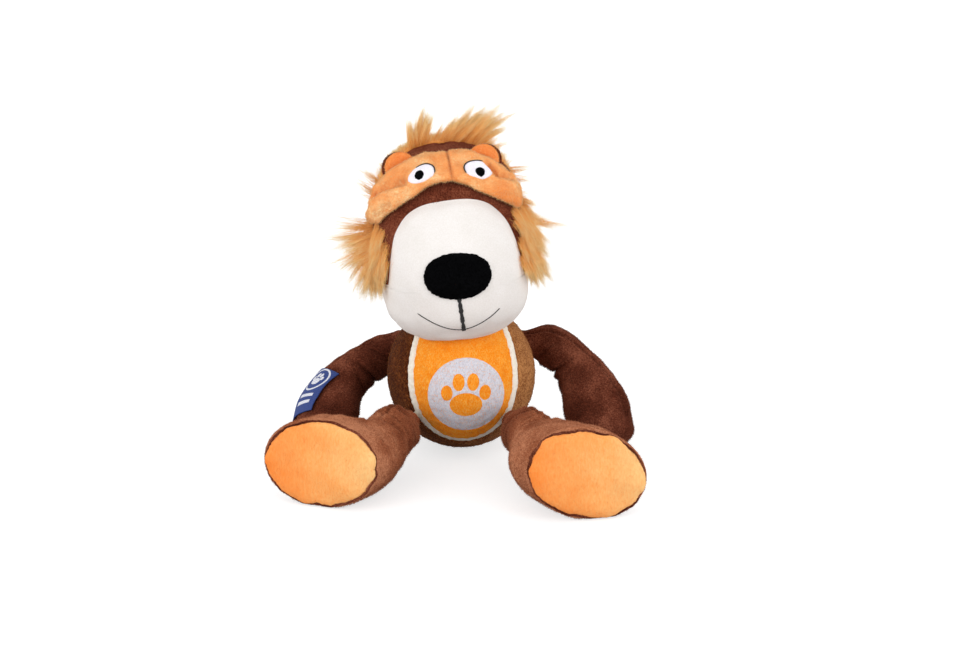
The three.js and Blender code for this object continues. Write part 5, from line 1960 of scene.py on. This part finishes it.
def sewn_sleeve(name, limb, folds, seams, seed, body, node, paint):
    """A sleeve with folds, seams, gathers at its root and soft lumps, open round the knot."""
    rings, places, turn, _, end = limb.rings(0, SLEEVE_AROUND, SLEEVE_STEPS, mouth=True)
    share = (places / limb.length)[:, None]
    out = unit(rings - rings.mean(1, keepdims=True))
    depth = cloth_dents(limb, share, turn, folds, seams)
    pucker = np.cos(GATHERS * turn + 0.5 * np.sin(3 * turn))[None]
    gathers = GATHER_DEPTH * np.exp(-np.clip(places, 0, None) / GATHER_REACH)[:, None] * pucker
    soft = 0.4 * lumps(rings, 20, seed) + 0.1 * lumps(rings, 7, seed + 1)
    calm = np.clip((share * limb.length + 2) / 8, 0, 1) * np.clip((1.02 - share) * 6, 0.25, 1)
    rings = eased(rings, 60)
    rings = eased(rings + out * ((soft - depth) * calm + gathers)[..., None], 8)
    rings[..., 2] = rested(rings[..., 2])
    points = np.vstack([rings.reshape(-1, 3), end[None]])
    hub = len(points) - 1
    cap = fan(hub, hub - SLEEVE_AROUND, SLEEVE_AROUND, True)
    faces = [grid_faces(len(rings), SLEEVE_AROUND, True), cap]
    piece = make(name, points, faces, paint, "brown_plush", body)
    stuffed(piece, node, fill=0.8)
    return piece


def filling(name, limb, body, node):
    """The stuffing of a sleeve, from behind the knot to the tip."""
    rings, _, _, _, end = limb.rings(-FILLING_INSIDE * FABRIC, 20, 14)
    rings = eased(rings[FILLING_START:], 20)
    rings[..., 2] = np.maximum(rings[..., 2], FILLING_LOWEST)
    piece = loft(name, rings, rings[0].mean(0), end, "fibre", "fibre", body)
    stuffed(piece, node, fill=0.8)


def build_arm(name, side):
    """An arm: a sleeve round the rope's knot, its stuffing and its pile, and on the left the ribbon."""
    pivot = joint_place(f"shoulder_swing_{name}")
    halves = (ARM_HALF_WIDE, ARM_HALF_THICK)
    form = (halves, ARM_THIN[side], ARM_HALF_THICK * ARM_TIP_SHARE, ARM_TIP_ANGLES)
    limb = Limb(pivot, ARM_PATHS[side], ARM_SIZES, ARM_LENGTH, side, *form)
    body = f"arm_{name}"
    kind = (101 + side, body, f"arm_sleeve_{name}", "brown")
    sleeve = sewn_sleeve(f"sleeve_{body}", limb, ARM_FOLDS[side], ARM_SEAMS[side], *kind)
    filling(f"filling_{body}", limb, body, f"arm_stuffing_{name}")
    if side < 0:
        build_tag(limb)
    thicken(sleeve, FABRIC)

    def past_root(roots):
        return np.linalg.norm(roots - pivot, axis=1) > BARE_ROOT * ROOT_RADIUS

    pile(sleeve, 24000, 0.8, "brown_pile", (-0.1 * side, -0.2, -0.5), 111 + side, keep=past_root)


def build_leg(name, side):
    """A leg: a sleeve that widens to the foot, its stuffing, its sole and its pile."""
    pivot = joint_place(f"hip_lift_{name}")
    yaw, roll = math.radians(SOLE_YAW[side]) * side, math.radians(SOLE_ROLL[side]) * side
    to_sole = unit(np.array([math.sin(yaw), -math.cos(yaw), SOLE_LIFT]))
    hip = HIP * [side, 1, 1]

    def facing(share):
        blend = np.minimum(1, 2 * np.atleast_1d(share))[:, None]
        return unit(hip * (1 - blend) + to_sole * blend)

    halves = (FOOT_HALF_LONG, FOOT_HALF_HIGH)
    form = (halves, (math.sin(roll), 0, math.cos(roll)), SOLE_CROWN, LEG_TIP_ANGLES, facing)
    limb = Limb(pivot, LEG_PATHS[side], LEG_SIZES, LEG_LENGTH, side, *form)
    body = f"leg_{name}"
    kind = (121 + side, body, f"leg_sleeve_{name}", "leg_brown")
    sleeve = sewn_sleeve(f"sleeve_{body}", limb, LEG_FOLDS[side], LEG_SEAMS, *kind)
    filling(f"filling_{body}", limb, body, f"leg_stuffing_{name}")
    sole = build_sole(name, side, limb, sleeve)
    thicken(sleeve, FABRIC)
    centre, ahead, wide, thin = (rows[0] for rows in limb.frames(1.0))

    def off_sole(roots):
        away = roots - centre
        across, rise = away @ wide / (FOOT_HALF_LONG - BARE_RIM), away @ thin / (FOOT_HALF_HIGH - BARE_RIM)
        return ~((across**2 + rise**2 < 1) & (away @ ahead > 0.5))

    pile(sleeve, 26000, 0.85, "leg_brown_pile", (0, -0.25, -0.35), 131 + side, keep=off_sole)
    pile(sole, 6000, 0.6, "sole_pile", (0.2, 0, -0.5), 141 + side, width=0.13)


def build_sole(name, side, limb, sleeve):
    """The padded sole on the sleeve's end, with a thick seam around it."""
    ground = surface_of(sleeve)
    centre, ahead, across, rise = (rows[0] for rows in limb.frames(1.0))
    if np.dot(np.cross(across, rise), ahead) < 0:
        across = -across
    shift, wider = SOLE_FIT[side]

    def edge(turn):
        ring = ring_of(turn, 20)
        wobble = 0.3 * lumps(ring, 14, 151 + side) + 0.14 * lumps(ring, 3, 153 + side)
        x = (FOOT_HALF_LONG - SOLE_RIM + wobble + wider) * power(np.cos(turn), SOLE_FULLNESS)
        y = (FOOT_HALF_HIGH - SOLE_RIM + 0.3 + wobble) * power(np.sin(turn), SOLE_FULLNESS)
        return np.stack([x, y], -1)

    def height(share):
        return SOLE_EDGE + (SOLE_PAD - SOLE_EDGE) * (np.clip(1 - share**10, 0, 1)) ** 0.5

    finish = ("sole", "orange_plush", f"leg_{name}")
    middle = centre + shift * across
    shape = (across, rise, edge, height, ground)
    pad = patch(f"sole_pad_{name}", middle, *shape, *finish, rings=26, around=128, even=SOLE_EVENING)
    soften(pad, 0.45, 15, 155 + side)
    stuffed(pad, f"sole_{name}")
    turn = np.linspace(0, 2 * math.pi + SEAM_OVERLAP, 170)
    flat = edge(turn) * SEAM_REACH
    points = on_plane(middle, flat, across, rise)
    depth = (cast(ground, points, ahead) - points) @ ahead
    for _ in range(SOLE_EVENING):
        depth[1:-1] = (depth[:-2] + 2 * depth[1:-1] + depth[2:]) / 4
    ring = points + ahead * (depth[:, None] + SOLE_EDGE / 2)
    ring[:, 2] = np.maximum(ring[:, 2], 2 * SEAM_THREAD)
    threads(f"sole_seam_{name}", [ring], SEAM_THREAD, "brown", "brown_plush", f"leg_{name}")
    return pad


def soften(piece, depth, size, seed):
    """Moves a piece's points along its normals by a smooth random height."""
    vertices = piece.data.vertices
    places = read(vertices, "co") / MM
    places += read(vertices, "normal") * (depth * lumps(places, size, seed))[:, None]
    places[:, 2] = np.maximum(places[:, 2], 0.1)
    vertices.foreach_set("co", (places * MM).ravel())
    piece.data.update()


# Tag: a ribbon folded over the arm's outer edge, with a woven paw and two bars

TAG_RISE = 0.9
TAG_THICK = 0.4
TAG_MIDDLE = TAG_WIDTH * 0.42
TAG_PAW_HEIGHT = 5.0
TAG_RING = 5.3
TAG_BARS = (-2.6, -5.6)
TAG_MARK_LIFTS = (0.5, 0.35)


def tag_places(limb, across, along, lift):
    """Points over the arm: across from its middle outwards and round the edge, and along it."""
    across, along = np.broadcast_arrays(across, along)
    share = TAG_SHARE - along / limb.length
    centre, _, wide, thin = (rows.reshape(along.shape + (3,)) for rows in limb.frames(share.ravel()))
    sizes = catmull(limb.sizes, share) + lift
    turn = math.pi / 2 + across / sizes.mean(-1)
    out = centre + sizes[..., :1] * np.cos(turn)[..., None] * wide
    return out + sizes[..., 1:] * np.sin(turn)[..., None] * thin


def tag_oval(x, y, wide, high, inner=0.02):
    """Places in an oval or a ring on the ribbon, from a place by the paw's middle."""
    turn = np.linspace(0, 2 * math.pi, 48)[None]
    size = inner + (1 - inner) * np.linspace(0, 1, 5)[:, None]
    return TAG_MIDDLE + x + wide * size * np.cos(turn), TAG_PAW_HEIGHT + y + high * size * np.sin(turn)


def tag_bar(at):
    """Places in a bar across the ribbon."""
    x, y = np.meshgrid(np.linspace(-3.6, 3.6, 20), np.linspace(-0.7, 0.7, 4))
    return TAG_MIDDLE + x, at + y


def build_tag(limb):
    """The ribbon with its woven marks. It is one sheet, folded over the arm's edge."""
    across = np.linspace(0, 2 * TAG_WIDTH, 60)[None]
    along = np.linspace(-1, 1, 40)[:, None] * TAG_LENGTH / 2
    top, low = (tag_places(limb, across, along, lift) for lift in (TAG_RISE + TAG_THICK, TAG_RISE))
    tag = slab("ribbon_tag", top, low, "ribbon", "ribbon", "arm_left")
    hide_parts("side_tag")
    marks = [tag_oval(0, 0, TAG_RING, TAG_RING, 0.86)]
    marks += [tag_oval(x * 0.28, z * 0.28, wide * 0.3, high * 0.28) for x, z, wide, high in PAW]
    marks += [tag_bar(at) for at in TAG_BARS]
    for count, (x, y) in enumerate(marks):
        top, low = (tag_places(limb, x, y, TAG_RISE + lift) for lift in TAG_MARK_LIFTS)
        slab(f"tag_mark_{count + 1}", top, low, "mark", "ribbon", "arm_left")


def carry_over():
    """Gives the part's own rigid solids their looks."""
    kinds = {"core": "rubber", "rope": "rope", "knot": "rope", "squeaker": "squeaker"}
    for name, node in frame["nodes"].items():
        for word, paint in kinds.items():
            if word in name:
                node.data.materials.clear()
                node.data.materials.append(paints[paint])


build_ball()
face, brow, back = build_head()
seat_lining()
head_filling()
build_face_marks(face)
mask = build_mask()
build_eyes(mask)
build_ears()
build_mane()
for name, side in SIDES:
    build_arm(name, side)
    build_leg(name, side)
carry_over()
pile(brow, 9000, 0.9, "head_brown_pile", (0, -0.1, -0.5), 161, keep=off_ball, width=0.19)
pile(back, 16000, 0.9, "head_brown_pile", (0, 0, -0.6), 162, keep=off_ball, width=0.19)


# Camera, light and floor

CAMERA_LIFT = 16.5
CAMERA_PLACE = (12.7, -973.1, 341.9)
CAMERA_LENS = 85
CAMERA_SENSOR = 36

# Lamps: place, width and strength in watts
LAMPS = {
    "key_light": ((960, -700, 330), 640, 5.7),
    "fill_light": ((-820, -640, 240), 800, 5.9),
    "rim_light": ((200, 900, 600), 600, 0.8),
}
LAMP_AIM = (0, 0, 60)
ROOM_LIGHT = 0.75
FLOOR_GREY = 0.54
FLOOR_HALF = 6000
FLOOR_GLOW = {"From Min": 0.25, "From Max": 1.2, "To Min": 0.66, "To Max": 0.86}
PURE_WHITE = (1, 1, 1, 1)


def place_thing(name, data, place):
    """Adds a thing to the scene at a place in millimetres."""
    thing = bpy.data.objects.new(name, data)
    thing.location = Vector(place) * MM
    bpy.context.scene.collection.objects.link(thing)
    return thing


def build_camera():
    """The camera of the photo, level in its turn and tipped down."""
    lens = bpy.data.cameras.new("camera")
    lens.lens = CAMERA_LENS
    lens.sensor_width = CAMERA_SENSOR
    camera = place_thing("camera", lens, CAMERA_PLACE)
    camera.rotation_euler = (math.radians(90 - CAMERA_LIFT), 0, 0)
    bpy.context.scene.camera = camera
    bpy.context.scene.view_settings.view_transform = "Standard"


def build_lamps():
    """Square lamps that all face the toy's middle."""
    for name, (place, size, strength) in LAMPS.items():
        light = bpy.data.lights.new(name, "AREA")
        light.size = size * MM
        light.energy = strength
        lamp = place_thing(name, light, place)
        way = Vector(LAMP_AIM) * MM - lamp.location
        lamp.rotation_euler = way.to_track_quat("-Z", "Y").to_euler()


def build_room():
    """Soft light from all round, which is plain white where it is seen itself."""
    world = bpy.data.worlds.new("studio")
    bpy.context.scene.world = world
    shader = Shader(world, "Background")
    rays = shader.add("LightPath").outputs
    clear = shader.math("ADD", rays["Is Glossy Ray"], rays["Is Transmission Ray"])
    direct = shader.math("ADD", rays["Is Camera Ray"], clear)
    strength = shader.add("MapRange", {"Value": direct, "To Min": ROOM_LIGHT, "To Max": 1.0})
    shader.set(Color=PURE_WHITE, Strength=strength.outputs["Result"])


def build_floor():
    """A pale floor that brightens away from the toy, as a paper sweep does."""
    shader = material("floor_white")
    away = shader.add("VectorMath", {"Vector": shader.place()}, operation="LENGTH").outputs["Value"]
    far = shader.add("MapRange", {"Value": away, **FLOOR_GLOW}).outputs["Result"]
    glow = shader.math("MULTIPLY", shader.add("LightPath").outputs["Is Camera Ray"], far)
    shader.set(Base_Color=(*[FLOOR_GREY] * 3, 1), Roughness=0.9, Specular_IOR_Level=0.0)
    shader.set(Emission_Color=PURE_WHITE, Emission_Strength=glow)
    corners = [(x * FLOOR_HALF * MM, y * FLOOR_HALF * MM, 0) for x, y in ((-1, -1), (1, -1), (1, 1), (-1, 1))]
    mesh = bpy.data.meshes.new("floor")
    mesh.from_pydata(corners, [], [(0, 1, 2, 3)])
    mesh.materials.append(shader.owner)
    place_thing("floor", mesh, (0, 0, 0))


build_camera()
build_lamps()
build_room()
build_floor()
